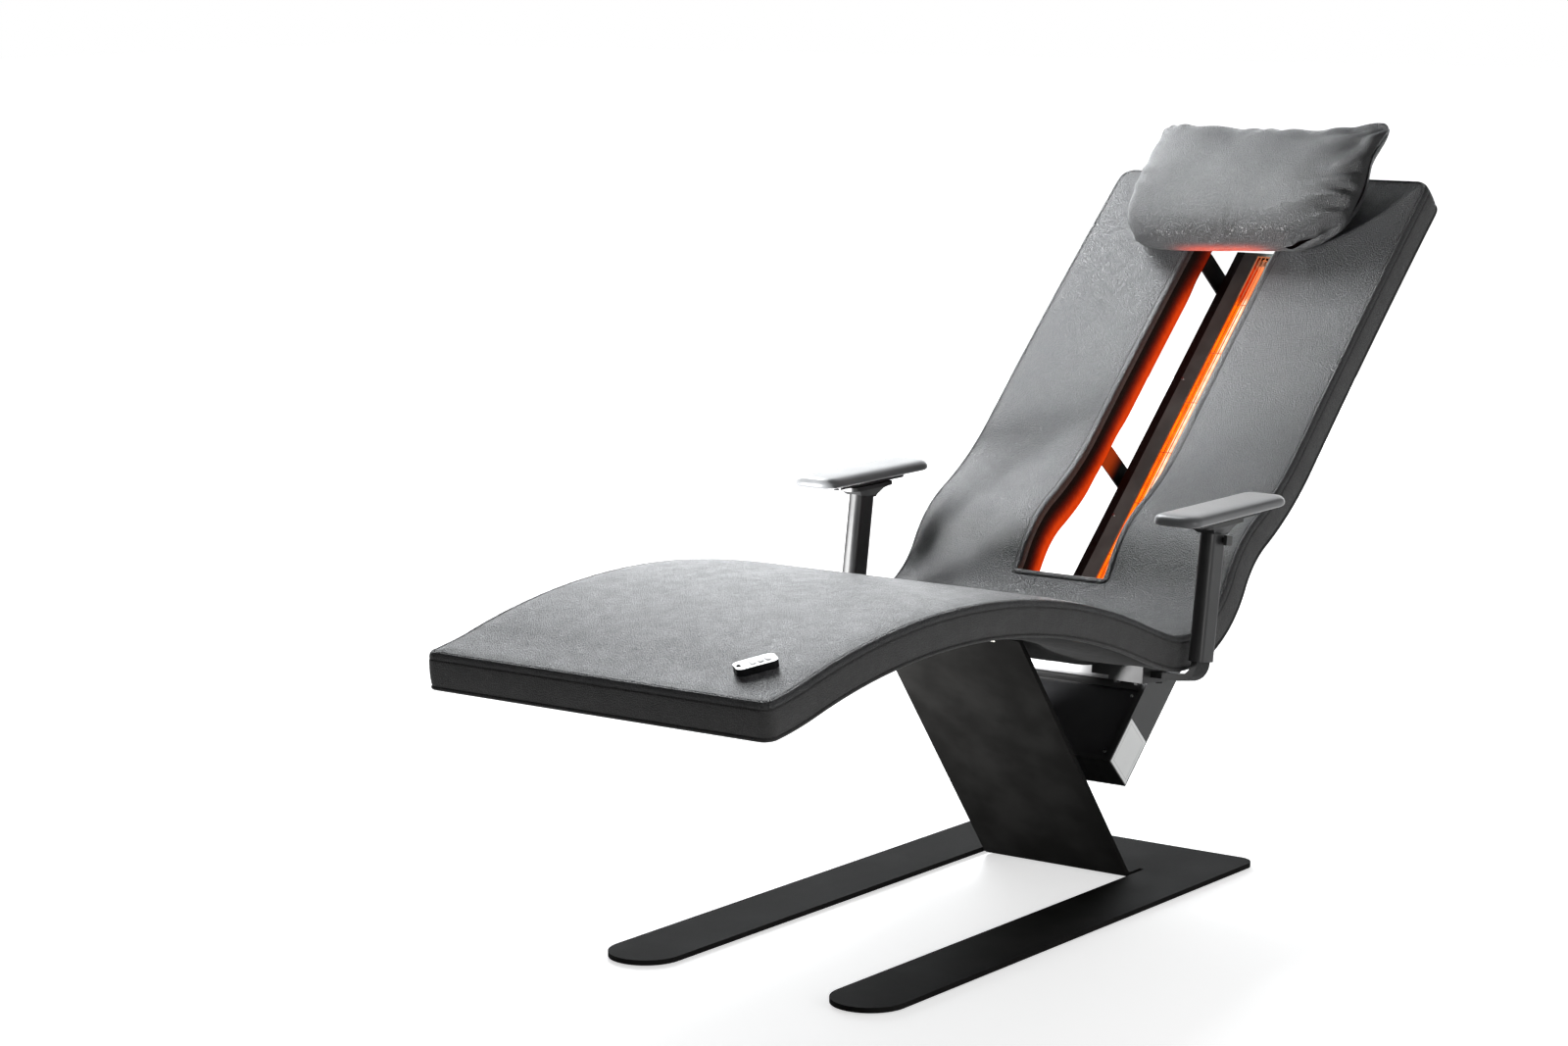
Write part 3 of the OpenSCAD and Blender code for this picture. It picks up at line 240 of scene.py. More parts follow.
class Finish:
    """A material built in steps: add() makes any node, paint() sets the shader's sockets."""

    def __init__(self, name):
        self.material = bpy.data.materials.new(name)
        self.material.use_nodes = True
        self.tree = self.material.node_tree
        self.shader = self.tree.nodes["Principled BSDF"]
        self.place = self.add("TexCoord", out="Object")

    def add(self, kind, settings=None, out=None, **values):
        """Makes a node and feeds its sockets by name, or by number as i0, i1 and so on."""
        node = self.tree.nodes.new("ShaderNode" + kind)
        for key, value in (settings or {}).items():
            setattr(node, key, value)
        for key, value in values.items():
            by_number = key[0] == "i" and key[1:].isdigit()
            socket = node.inputs[int(key[1:])] if by_number else node.inputs[key.replace("_", " ")]
            self.feed(socket, value)
        if out:
            return Val(self, node.outputs[out])
        return Val(self, next(o for o in node.outputs if o.enabled))

    def feed(self, socket, value):
        if isinstance(value, Val):
            self.tree.links.new(value.socket, socket)
        elif socket.type == "RGBA":
            socket.default_value = (*value[:3], 1)
        else:
            socket.default_value = value

    def axes(self, names):
        """The asked ones of a point's own coordinates."""
        outputs = self.add("SeparateXYZ", Vector=self.place).socket.node.outputs
        return [Val(self, outputs[name]) for name in names]

    def noise(self, scale, detail=2.0, rough=0.5, stretch=None):
        place = self.place if stretch is None else self.add("Mapping", Vector=self.place, Scale=stretch)
        return self.add("TexNoise", out="Fac", Vector=place, Scale=scale, Detail=detail, Roughness=rough)

    def cells(self, scale, feature="F1", random=1.0):
        return self.add("TexVoronoi", {"feature": feature}, out="Distance",
                        Vector=self.place, Scale=scale, Randomness=random)

    def mix(self, share, a, b):
        node = self.tree.nodes.new("ShaderNodeMix")
        node.data_type = "RGBA"
        self.feed(node.inputs[0], share)
        self.feed(node.inputs[6], a)
        self.feed(node.inputs[7], b)
        return Val(self, node.outputs[2])

    def bump(self, height, depth, strength=1.0, under=None):
        normal = {} if under is None else {"Normal": under}
        return self.add("Bump", Strength=strength, Distance=depth, Height=height, **normal)

    def part(self, name):
        """One of the marks that a piece carries at its points."""
        return self.add("Attribute", {"attribute_name": name}, out="Fac")

    def paint(self, **values):
        for key, value in values.items():
            self.feed(self.shader.inputs[key.replace("_", " ")], value)
        return self.material


BLACK = (0.0, 0.0, 0.0)
BAND_TINT = (0.0100, 0.0095, 0.0090)
GLOW_EDGE = (0.34, 0.010, 0.0)
GLOW_HEART = (0.80, 0.058, 0.002)
STRAP_GLOW = (0.36, 0.034, 0.001)
FLANGE_BLACK = (0.006, 0.0052, 0.0046)


def shade(colour, share, lift=0.0):
    """A colour made darker or lighter."""
    return tuple(min(c * share + lift, 1) for c in colour)


def leatherette(name, dark, pale, gloss, grain, shine, sheen):
    """Fine-grained coated cloth: pebbles, creases with painted shade in them, colour drift, seams darkened
    with painted shade, and the lamp's light on it painted as emission.
    """
    f = Finish(name)
    pebble = f.cells(560)
    crease = f.cells(290, "DISTANCE_TO_EDGE")
    pucker = f.noise(150, 3, 0.65)
    drift = f.noise(7, 3)
    patch = f.noise(38, 4, 0.6)
    fine = f.noise(1900, 1)
    colour = f.mix((drift * 0.55 + patch * 0.45).ramp(0.32, 0.68), dark, pale)
    # the grain's creases are darkened: painted shade in them
    colour = f.mix(crease.ramp(0.0, 0.14, 0.55, 0.0), colour, shade(dark, 0.35))
    # the seams are darkened to near black: painted shade in their grooves
    colour = f.mix(f.part("seam"), colour, shade(dark, 0.08))
    colour = f.mix(f.part("band") * 0.9, colour, BAND_TINT)
    flicker = f.part("glow") * (0.82 + 0.36 * f.noise(90, 2))
    glow = f.mix(flicker.ramp(0.0, 1.3), GLOW_EDGE, GLOW_HEART)
    glow = f.mix(flicker.ramp(0.0, 0.9), BLACK, glow)
    rough = gloss + patch.ramp(0.3, 0.7, -0.04, 0.05) + fine.ramp(0.3, 0.7, -0.03, 0.03)
    rough = rough + pebble.ramp(0.0, 0.8, -0.05, 0.08) + f.part("band") * 0.16
    coarse = f.bump(pebble.ramp(0.0, 0.75, 1.0, 0.0) + crease.ramp(0.0, 0.12) * 0.6, 0.00038 * grain, 0.9)
    middle = f.bump(pucker, 0.0003 * grain, 0.6, under=coarse)
    soft = f.bump(patch, 0.0009, 0.35, under=middle)
    return f.paint(
        Base_Color=colour, Roughness=rough, Normal=soft, Specular_IOR_Level=shine, Sheen_Weight=sheen,
        Sheen_Roughness=0.45, Emission_Color=glow, Emission_Strength=1.0)


def coat(name, colour, gloss=0.38, grain=900, depth=0.00005, sparkle=0.0, shine=0.5, painted_tube_light=False, flange=None):
    """Powder coat: orange-peel bumps, a little dust, uneven gloss.

    When asked, the tube's orange light is painted as emission on the strap's face that looks at the tube;
    flange is the x up to which the piece is black.
    """
    f = Finish(name)
    peel = f.noise(grain, 2)
    cloud = f.noise(11, 3)
    speck = f.cells(1500)
    tone = f.mix(cloud.ramp(0.35, 0.7), colour, shade(colour, 1.5, 0.003))
    if sparkle:
        tone = f.mix(speck.ramp(0.0, 0.16, sparkle, 0.0), tone, (0.35, 0.36, 0.38))
    if flange is not None:
        (across,) = f.axes("X")
        tone = f.mix(across.ramp(flange - 0.0004, flange + 0.0004), FLANGE_BLACK, tone)
    rough = gloss + cloud.ramp(0.3, 0.7, -0.03, 0.04) + peel.ramp(0.3, 0.7, -0.03, 0.03)
    bumps = f.bump(peel + 0.4 * f.noise(grain * 3.1, 1), depth, 0.6)
    if painted_tube_light:
        # painted light: the tube's orange glow on the strap's face towards the tube, near the slot wall
        across, y, z = f.axes("XYZ")
        inner_face = (across * 0.99 - (y - z) * 0.08).ramp(-0.0697, -0.0687)
        near_wall = across.ramp(-0.0790, -0.0752, 1.0, 0.0)
        lit = inner_face * near_wall * (0.6 + 0.5 * cloud)
        f.paint(Emission_Color=f.mix(lit, BLACK, STRAP_GLOW), Emission_Strength=1.0)
    return f.paint(Base_Color=tone, Roughness=rough, Normal=bumps, Specular_IOR_Level=shine)


def plastic(name, colour, gloss=0.5, texture=1300, depth=0.00006, worn=1.35, sheen=0.0):
    """Moulded plastic with a fine spark-eroded texture."""
    f = Finish(name)
    spark = f.cells(texture)
    cloud = f.noise(17, 3)
    tone = f.mix(cloud.ramp(0.3, 0.72), colour, shade(colour, worn, 0.002))
    rough = gloss + cloud.ramp(0.3, 0.7, -0.05, 0.05) + f.noise(texture * 0.7, 1).ramp(0.3, 0.7, -0.03, 0.03)
    bumps = f.bump(spark, depth, 0.55)
    return f.paint(Base_Color=tone, Roughness=rough, Normal=bumps, Sheen_Weight=sheen, Sheen_Roughness=0.4)


def metal(name, colour, gloss=0.3, stretch=(1, 1, 1), tint=None):
    """Plated or drawn metal with fine lines along its working direction."""
    f = Finish(name)
    lines = f.noise(700, 3, 0.6, stretch)
    cloud = f.noise(60, 3)
    tone = f.mix(cloud.ramp(0.3, 0.7), colour, tint or shade(colour, 0.8))
    rough = gloss + lines.ramp(0.3, 0.7, -0.08, 0.09)
    return f.paint(Base_Color=tone, Metallic=1.0, Roughness=rough, Normal=f.bump(lines, 0.00003, 0.4))


def woven(name, colour, pitch=0.0011, fuzz=0.3):
    """Plain cloth: crossing threads that rise and dip, with a dusty sheen."""
    f = Finish(name)
    x, y, z = f.axes("XYZ")
    turns = 2 * math.pi / pitch
    weave = ((x * turns).wave() * ((y + z) * turns).wave()) * 0.5 + 0.5
    cloud = f.noise(24, 4)
    tone = f.mix(weave * 0.6 + cloud * 0.4, shade(colour, 0.55), shade(colour, 1.6))
    rough = 0.82 + cloud.ramp(0.3, 0.7, -0.06, 0.08)
    bumps = f.bump(weave, 0.0002, 0.5)
    return f.paint(Base_Color=tone, Roughness=rough, Normal=bumps, Sheen_Weight=fuzz, Sheen_Roughness=0.5)


def wood(name):
    """Plywood with its plies along z and its grain along x."""
    f = Finish(name)
    ply = f.noise(9, 4, 0.6, (1, 1, 22))
    grain = f.noise(40, 5, 0.65, (1.5, 14, 14))
    tone = f.mix(ply * 0.5 + grain * 0.5, (0.33, 0.20, 0.11), (0.62, 0.44, 0.27))
    return f.paint(Base_Color=tone, Roughness=0.6 + grain.ramp(0.3, 0.7, -0.08, 0.08),
                   Normal=f.bump(grain, 0.0002, 0.5))


def lamp_height(f):
    """How far up the lamp a point lies, from 0 at its foot to 1 at its head."""
    y, z = f.axes("YZ")
    t = (y - FOLD_Y) * math.cos(BACK_ANGLE) + z * math.sin(BACK_ANGLE)
    return (t - LAMP_LOW) / LAMP_LONG


def glowing(name, hot, dull, strength, base, gloss, metallic=0.0, streak=0.4, coil=0.0, core=None):
    """A lamp part that glows over its lit length and stays dull red at its unlit head, as emission. The tube
    and filament glow of themselves over the lit length; the dull red at every unlit head is painted light,
    the reflector's glow is a painted reflection of the tube and the guard wire's glow is painted light from
    it.

    core is the hottest line: its x, its half width and its colour.
    """
    f = Finish(name)
    up = lamp_height(f)
    lit = up.ramp(0.895, 0.868, 0.0, 1.0)
    lines = f.noise(420, 3, 0.6, (1.0, 0.06, 0.06)).ramp(0.3, 0.7, 1 - streak, 1 + streak * 0.4)
    if coil:
        lines = lines * ((up * coil).wave() * 0.22 + 0.9)
    if core:
        core_x, half_width, core_colour = core
        (across,) = f.axes("X")
        near = (across - core_x).size().ramp(half_width * 0.4, half_width, 1.0, 0.0)
        hot = f.mix(near, hot, core_colour)
    tone = f.mix(f.noise(50, 3), base, shade(base, 0.8))
    rough = gloss + f.noise(90, 2).ramp(0.3, 0.7, -0.05, 0.06)
    return f.paint(Base_Color=tone, Metallic=metallic, Roughness=rough,
                   Emission_Color=f.mix(lit * lines, dull, hot), Emission_Strength=strength)


# the middle of the label in the lamp's frame, and half the sides of its printed frame
LABEL_T, LABEL_H = 0.130, 0.1695
LABEL_HALF_T, LABEL_HALF_H = 0.036, 0.026
LABEL_LINE = 0.0006


def label_film(name):
    """A blank label: white film with a printed hairline frame and nothing in it."""
    f = Finish(name)
    y, z = f.axes("YZ")
    c, k = math.cos(BACK_ANGLE), math.sin(BACK_ANGLE)
    t = (y - FOLD_Y) * c + z * k
    h = z * c - (y - FOLD_Y) * k
    off_t = (t - LABEL_T).size()
    off_h = (h - LABEL_H).size()
    ring = (off_t - LABEL_HALF_T).size().smallest((off_h - LABEL_HALF_H).size())
    outside = (off_t - (LABEL_HALF_T + 0.0005)).largest(off_h - (LABEL_HALF_H + 0.0005))
    frame_line = ring.ramp(0.0, LABEL_LINE, 1.0, 0.0) * outside.ramp(0.0, 0.0002, 1.0, 0.0)
    cloud = f.noise(40, 3)
    paper = f.mix(cloud, (0.90, 0.915, 0.91), (0.96, 0.97, 0.965))
    tone = f.mix(frame_line * 0.55, paper, (0.25, 0.26, 0.27))
    return f.paint(Base_Color=tone, Roughness=0.42 + cloud.ramp(0.3, 0.7, -0.05, 0.05),
                   Normal=f.bump(f.noise(260, 3), 0.00008, 0.4))


def circuit_board(name):
    """Green board with paler tracks and tinned dots."""
    f = Finish(name)
    tracks = f.cells(140, "DISTANCE_TO_EDGE", 0.2)
    dots = f.cells(260)
    tone = f.mix(tracks.ramp(0.02, 0.05, 1.0, 0.0), (0.01, 0.10, 0.04), (0.02, 0.20, 0.09))
    tone = f.mix(dots.ramp(0.0, 0.2, 0.8, 0.0), tone, (0.6, 0.5, 0.25))
    return f.paint(Base_Color=tone, Roughness=0.3 + f.noise(60, 2).ramp(0.3, 0.7, -0.06, 0.08),
                   Normal=f.bump(tracks, 0.0001, 0.5))


SHELL_LEATHER = leatherette(
    "shell_leatherette", (0.0078, 0.0086, 0.0102), (0.0130, 0.0144, 0.0168), 0.37, 2.8, 1.0, 0.06)
WALL_LEATHER = leatherette(
    "slot_wall_leatherette", (0.010, 0.0075, 0.0065), (0.014, 0.011, 0.0095), 0.62, 1.0, 0.04, 0.0)
PILLOW_LEATHER = leatherette(
    "pillow_leatherette", (0.0065, 0.0072, 0.0084), (0.0110, 0.0121, 0.0140), 0.385, 3.0, 1.0, 0.05)
THREAD = woven("seam_thread", (0.010, 0.010, 0.011), 0.0004, 0.05)
# near black: painted shadow, for the dark strips of the band's closing seams
PAINTED_SEAM_SHADOW = plastic("seam_shadow", (0.012, 0.012, 0.013), 0.6)
UNDER_CLOTH = woven("underside_cloth", (0.007, 0.0069, 0.0067), fuzz=0.03)
PAD_SKIN = plastic("pad_skin", (0.105, 0.108, 0.112), 0.36, 850, 0.00009, 1.2, 1.0)


def dress(finish, *names):
    """Gives pieces of the frame their finish."""
    for name in names:
        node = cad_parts[name]
        node.data.materials.clear()
        node.data.materials.append(finish)


dress(coat("frame_powder_coat", (0.0100, 0.0098, 0.0094), 0.66, 800, shine=0.02), "base_frame")
dress(coat("strap_powder_coat", (0.010, 0.010, 0.010), 0.55, 900, shine=0.2), "ir_strap_top")
# the low strap's face towards the tube gets the tube's light painted on
dress(coat("lit_strap_powder_coat", (0.010, 0.010, 0.010), 0.55, 900, shine=0.2, painted_tube_light=True), "ir_strap_low")
dress(coat("bracket_powder_coat", (0.011, 0.011, 0.011), 0.52, 800, shine=0.2),
      "arm_bracket_left", "arm_bracket_right", "arm_block_bolts")
dress(coat("housing_black", (0.0040, 0.0038, 0.0036), 0.6, 700, 0.00006, shine=0.06), "ir_housing")
dress(coat("lamp_cover_grey", (0.180, 0.215, 0.208), 0.5, 620, 0.00006, shine=0.25, flange=-0.0398),
      "ir_cover")
dress(coat("control_box_coat", (0.016, 0.016, 0.016), 0.33, 650, 0.00007), "box_body")
dress(coat("front_panel_coat", (0.010, 0.010, 0.011), 0.40, 750, 0.00012, sparkle=0.6), "box_panel")
dress(coat("hanger_grey", (0.28, 0.28, 0.285), 0.36, 500), "box_hanger")
dress(metal("zinc_plate", (0.62, 0.66, 0.68), 0.24, tint=(0.66, 0.63, 0.55)),
      "pedestal_bolts", "ir_cover_screws", "strap_screws", "hanger_screws", "panel_screws")
dress(metal("power_case_sheet", (0.6, 0.61, 0.63), 0.38, (1, 12, 12)), "power_unit")
# the guard wire's orange: painted light from the tube, given as emission
dress(glowing("guard_wire", (0.40, 0.050, 0.004), (0.50, 0.16, 0.07), 1.0, (0.20, 0.10, 0.05), 0.4, 1.0, 0.3),
      "wire_guard")
# the reflector's orange: a painted reflection of the lit tube, given as emission
dress(glowing("reflector_sheet", (0.93, 0.19, 0.004), (0.16, 0.008, 0.002), 1.0, (0.80, 0.35, 0.08),
              0.3, 1.0, 0.75), "reflector")
dress(glowing("quartz_tube_lit", (1.0, 0.33, 0.02), (0.80, 0.20, 0.06), 1.1, (0.9, 0.6, 0.35),
              0.16, 0.0, 0.3, 260, core=(0.0012, 0.0044, (1.0, 0.95, 0.72))), "quartz_tube")
dress(glowing("filament_coil", (1.0, 0.85, 0.55), (0.5, 0.1, 0.03), 2.0, (0.8, 0.6, 0.4), 0.3, 1.0, 0.2, 900),
      "filament")
dress(plastic("steatite", (0.62, 0.48, 0.34), 0.7, 900), "tube_holders")
dress(plastic("moulded_black", (0.017, 0.017, 0.0175), 0.46, 1250),
      "arm_block_left", "arm_block_right", "arm_base_left", "arm_base_right", "mains_inlet")
dress(plastic("sleeve_black", (0.019, 0.019, 0.0195), 0.42, 1300, 0.00008),
      "arm_sleeve_left", "arm_sleeve_right")
dress(plastic("button_black", (0.022, 0.022, 0.022), 0.34, 1500), "arm_button_left", "arm_button_right")
dress(plastic("glide_rubber", (0.02, 0.02, 0.02), 0.75, 700), "floor_glides", "lead_grommet")
dress(woven("hook_tape", (0.014, 0.014, 0.014), 0.0016, 0.5), "pillow_strips")
dress(woven("lead_sleeving", (0.55, 0.50, 0.40), 0.0006), "lamp_leads")
dress(wood("moulded_plywood"), "shell_core")
dress(label_film("blank_label"), "rating_label")
dress(circuit_board("circuit_board"), "control_board", "remote_board")
dress(plastic("remote_gloss", (0.008, 0.008, 0.009), 0.20, 1600, 0.00002), "remote_case")
dress(plastic("remote_face", (0.55, 0.56, 0.57), 0.35, 1600, 0.00003), "remote_plate")
dress(plastic("remote_key", (0.78, 0.79, 0.80), 0.38, 1500, 0.00003), "key_1", "key_2", "key_3")


# making pieces
def start(name, mesh_op, **settings):
    """Adds a primitive as a new piece, which is then the active one."""
    bpy.ops.object.select_all(action="DESELECT")
    mesh_op(**settings)
    piece = bpy.context.object
    piece.name = piece.data.name = name
    return piece


def grid(name, columns, rows):
    """A flat grid, and which column and row each of its points is in."""
    piece = start(name, bpy.ops.mesh.primitive_grid_add, x_subdivisions=columns, y_subdivisions=rows, size=1)
    co = points(piece)
    column = np.rint((co[:, 0] + 0.5) * columns).astype(int)
    row = np.rint((co[:, 1] + 0.5) * rows).astype(int)
    return piece, column, row


def points(piece):
    co = np.empty(len(piece.data.vertices) * 3)
    piece.data.vertices.foreach_get("co", co)
    return co.reshape(-1, 3)


def move_points(piece, co):
    piece.data.vertices.foreach_set("co", np.ascontiguousarray(co, float).ravel())
    piece.data.update()


def enter(mode="FACE"):
    bpy.ops.object.mode_set(mode="EDIT")
    bpy.ops.mesh.select_mode(type=mode)


def leave():
    bpy.ops.object.mode_set(mode="OBJECT")


def pick(piece, kind, test):
    """Selects the edges or faces that pass a test, from object mode."""
    data = piece.data
    for group in (data.vertices, data.edges, data.polygons):
        group.foreach_set("select", np.zeros(len(group), bool))
    for element in {"EDGE": data.edges, "FACE": data.polygons}[kind]:
        if test(element):
            element.select = True


def cut_out(piece, half_x, low, high):
    """Opens the flat piece where its slot is."""
    pick(piece, "FACE", lambda f: abs(f.center[0]) < half_x and low < f.center[1] < high)
    enter()
    bpy.ops.mesh.delete(type="FACE")
    leave()


def turn_over():
    """Makes all faces of the newest piece look the other way."""
    enter()
    bpy.ops.mesh.select_all(action="SELECT")
    bpy.ops.mesh.flip_normals()
    leave()


def mark(piece, name, values):
    """Writes one number at each point, for the finish to read."""
    layer = piece.data.attributes.new(name, "FLOAT", "POINT")
    layer.data.foreach_set("value", np.ascontiguousarray(values, np.float32))


def select_alone(piece):
    bpy.context.view_layer.objects.active = piece
    bpy.ops.object.select_all(action="DESELECT")
    piece.select_set(True)


def smooth(piece, degrees=40):
    for p in piece.data.polygons:
        p.use_smooth = True
    select_alone(piece)
    bpy.ops.object.shade_smooth_by_angle(angle=math.radians(degrees))


def settle(piece, body, finish, replaces=()):
    """Gives a finished piece its finish and the body that it rides on."""
    select_alone(piece)
    bpy.ops.object.transform_apply(location=True, rotation=True, scale=True)
    piece.data.materials.clear()
    piece.data.materials.append(finish)
    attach(piece, body)
    if replaces:
        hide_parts(*replaces)


def take_form(name, mesh_op, **settings):
    """The points and faces of a small primitive, to be copied."""
    seed = start(name, mesh_op, **settings)
    unit = points(seed)
    faces = [tuple(face.vertices) for face in seed.data.polygons]
    bpy.data.objects.remove(seed)
    return unit, faces


def sewn_on(name, copies, finish):
    """One piece of many copies on the shell; each copy is its points laid out flat, and its faces."""
    faces = []
    first = 0
    for co, copy_faces in copies:
        faces += [tuple(v + first for v in face) for face in copy_faces]
        first += len(co)
    mesh = bpy.data.meshes.new(name)
    mesh.from_pydata(wrap(np.concatenate([co for co, _ in copies])).tolist(), [], faces)
    piece = bpy.data.objects.new(name, mesh)
    bpy.context.collection.objects.link(piece)
    smooth(piece)
    settle(piece, "lounger", finish)


# the shell's leatherette
def lines_between(a, b, step):
    n = max(1, round((b - a) / step))
    return [a + (b - a) * i / n for i in range(n + 1)]


# where grid lines run beside the shell's edge and beside the slot: closest at seams and roundings
EDGE_STEPS = [
    0, 0.0005, 0.0012, 0.0021, 0.0032, 0.0044, 0.0056, 0.0067, 0.0077, 0.0088, 0.0102, 0.0125, 0.016, 0.022,
    0.031, 0.044, 0.060, 0.076]
RIM_STEPS = [
    0, 0.0004, 0.0011, 0.0021, 0.0035, 0.0052, 0.0072, 0.0092, 0.0107, 0.0120, 0.0133, 0.0150, 0.0180, 0.023,
    0.031, 0.044, 0.060]
FIELD_STEP = 0.017
SLOT_STEP = 0.016
LONG_STEP = 0.0065


def shell_lines():
    """The places of the shell's grid lines, across and along."""
    half = [SLOT_X + e for e in RIM_STEPS]
    half += lines_between(SLOT_X + RIM_STEPS[-1], HALF_W - EDGE_STEPS[-1], FIELD_STEP)[1:-1]
    half += [HALF_W - d for d in reversed(EDGE_STEPS)]
    across = [-x for x in reversed(half)] + lines_between(-SLOT_X, SLOT_X, SLOT_STEP)[1:-1] + half
    along = EDGE_STEPS[:-1] + lines_between(EDGE_STEPS[-1], SLOT_LOW - RIM_STEPS[-1], LONG_STEP)
    along += [SLOT_LOW - e for e in reversed(RIM_STEPS)][1:]
    along += lines_between(SLOT_LOW, SLOT_HIGH, LONG_STEP)[1:-1]
    along += [SLOT_HIGH + e for e in RIM_STEPS if SLOT_HIGH + e < TOTAL - EDGE_STEPS[-1] + 0.02]
    along += [TOTAL - d for d in reversed(EDGE_STEPS) if TOTAL - d > along[-1] + 0.001]
    return np.array(across), np.array(along)


def corner_in(radius, gap):
    """How far a rounded corner of the outline draws in at a distance from the end."""
    gap = np.clip(gap, 0, radius)
    return radius - np.sqrt(np.clip(radius ** 2 - (radius - gap) ** 2, 0, None))


# how the side band goes down from the upper seam: how far out, and how high
BAND_STEPS = [
    (0, 0.0002), (-0.0014, -0.0006), (-0.0014, -0.0013), (0, -0.0022), (0.0005, -0.004), (0.0008, -0.009),
    (0.0011, -0.016), (0.0012, -0.023), (0.001, -0.03), (0.0004, -0.0365),
    (-0.0001, -0.0392), (-0.0015, -0.0402), (-0.0003, -0.0411), (0.0009, -0.0422), (0.0011, -0.0436),
    (0.0003, -0.045), (-0.0012, -0.0458), (-0.01, -0.046), (-0.024, -0.046)]
WALL_STEPS = [-0.0005, -0.006, -0.013, -0.020, -0.027, -0.034, -0.040, -0.044, -0.047, -0.0500]
SEAM_HEIGHTS = (-0.0010, -0.0402)

# where bolted-on parts keep the underside flat: across, half width, and from where to where along
CLEAR_SPOTS = [
    (0.0, 0.142, 0.706, 0.885), (0.0, 0.136, 1.140, 1.206), (0.2275, 0.036, 1.028, 1.106),
    (0.10, 0.030, 1.478, 1.556), (0.10, 0.030, 1.914, 1.990)]


def free_of_fittings(x, s):
    """1 where nothing is bolted under the shell, falling to 0 at its fittings."""
    share = np.ones(len(x))
    for cx, half, low, high in CLEAR_SPOTS:
        qx = np.abs(np.abs(x) - cx) - half
        qs = np.abs(s - (low + high) / 2) - (high - low) / 2
        away = np.hypot(np.maximum(qx, 0), np.maximum(qs, 0))
        share = share * (1 - np.exp(-(away / 0.030) ** 2))
    return share


def band_move(co, target, before):
    """Takes the side band's newest row outwards and down."""
    g = 1e-5
    gx = (edge_gap(co[:, 0] + g, co[:, 1]) - edge_gap(co[:, 0] - g, co[:, 1])) / (2 * g)
    gs = (edge_gap(co[:, 0], co[:, 1] + g) - edge_gap(co[:, 0], co[:, 1] - g)) / (2 * g)
    size = np.maximum(np.hypot(gx, gs), 1e-6)
    out = target[0] - (before[0] if before else 0)
    new = co.copy()
    new[:, 0] -= gx / size * out
    new[:, 1] -= gs / size * out
    new[:, 2] = target[1]
    if -0.035 < target[1] < -0.006:
        new[:, 2] += 0.0003 * ripple(co[:, 0] + co[:, 1], co[:, 1], 0.05, 8)
    return new


def wall_move(co, target, before):
    """Takes the slot wall's newest row down, less deep over fittings."""
    new = co.copy()
    new[:, 2] = np.maximum(target, -0.0455 - 0.0045 * free_of_fittings(co[:, 0], co[:, 1]))
    return new


def extrude_rim(piece, keep, steps, move):
    """Extrudes the open edges that pass a test, row after row."""
    count = {}
    for p in piece.data.polygons:
        for key in p.edge_keys:
            count[key] = count.get(key, 0) + 1
    co = points(piece)
    pick(piece, "EDGE", lambda e: count.get(tuple(sorted(e.vertices)), 0) == 1 and keep(co[e.vertices[0]]))
    before = None
    for target in steps:
        enter("EDGE")
        bpy.ops.mesh.extrude_region_move()
        leave()
        chosen = np.empty(len(piece.data.vertices), bool)
        piece.data.vertices.foreach_get("select", chosen)
        co = points(piece)
        co[chosen] = move(co[chosen], target, before)
        move_points(piece, co)
        before = target


def shell_marks(piece, flat, n_top, n_band):
    """Marks the seams, which the finish darkens as painted shade in their grooves, the side band, and the
    lamp's light on the slot walls.
    """
    index = np.arange(len(flat))
    x, s, h = flat.T
    edge, slot = edge_gap(x, s), slot_gap(x, s)
    band = (index >= n_top) & (index < n_band)
    seam = np.where(index < n_top, dip(edge, OUTER_STITCH, 0.0015) + dip(slot, SLOT_STITCH, 0.0016), 0)
    seam = np.where(band, sum(dip(h, at, 0.0006) for at in SEAM_HEIGHTS), seam)
    deep = np.where(index >= n_band, np.clip((0.006 - h) / 0.05, 0, 1), 0)
    # the light fades towards the lamp's head, and is weak on walls that face along the slot
    reach = np.clip((2.00 - s) / 0.16, 0.45, 1)
    side = np.where(np.abs(np.abs(x) - SLOT_X) < 0.001, 1.0, 0.18)
    mark(piece, "seam", np.clip(seam, 0, 1))
    mark(piece, "band", band.astype(float))
    mark(piece, "glow", np.clip((deep - 0.22) / 0.70, 0, 1) ** 1.5 * reach * side * 0.85)


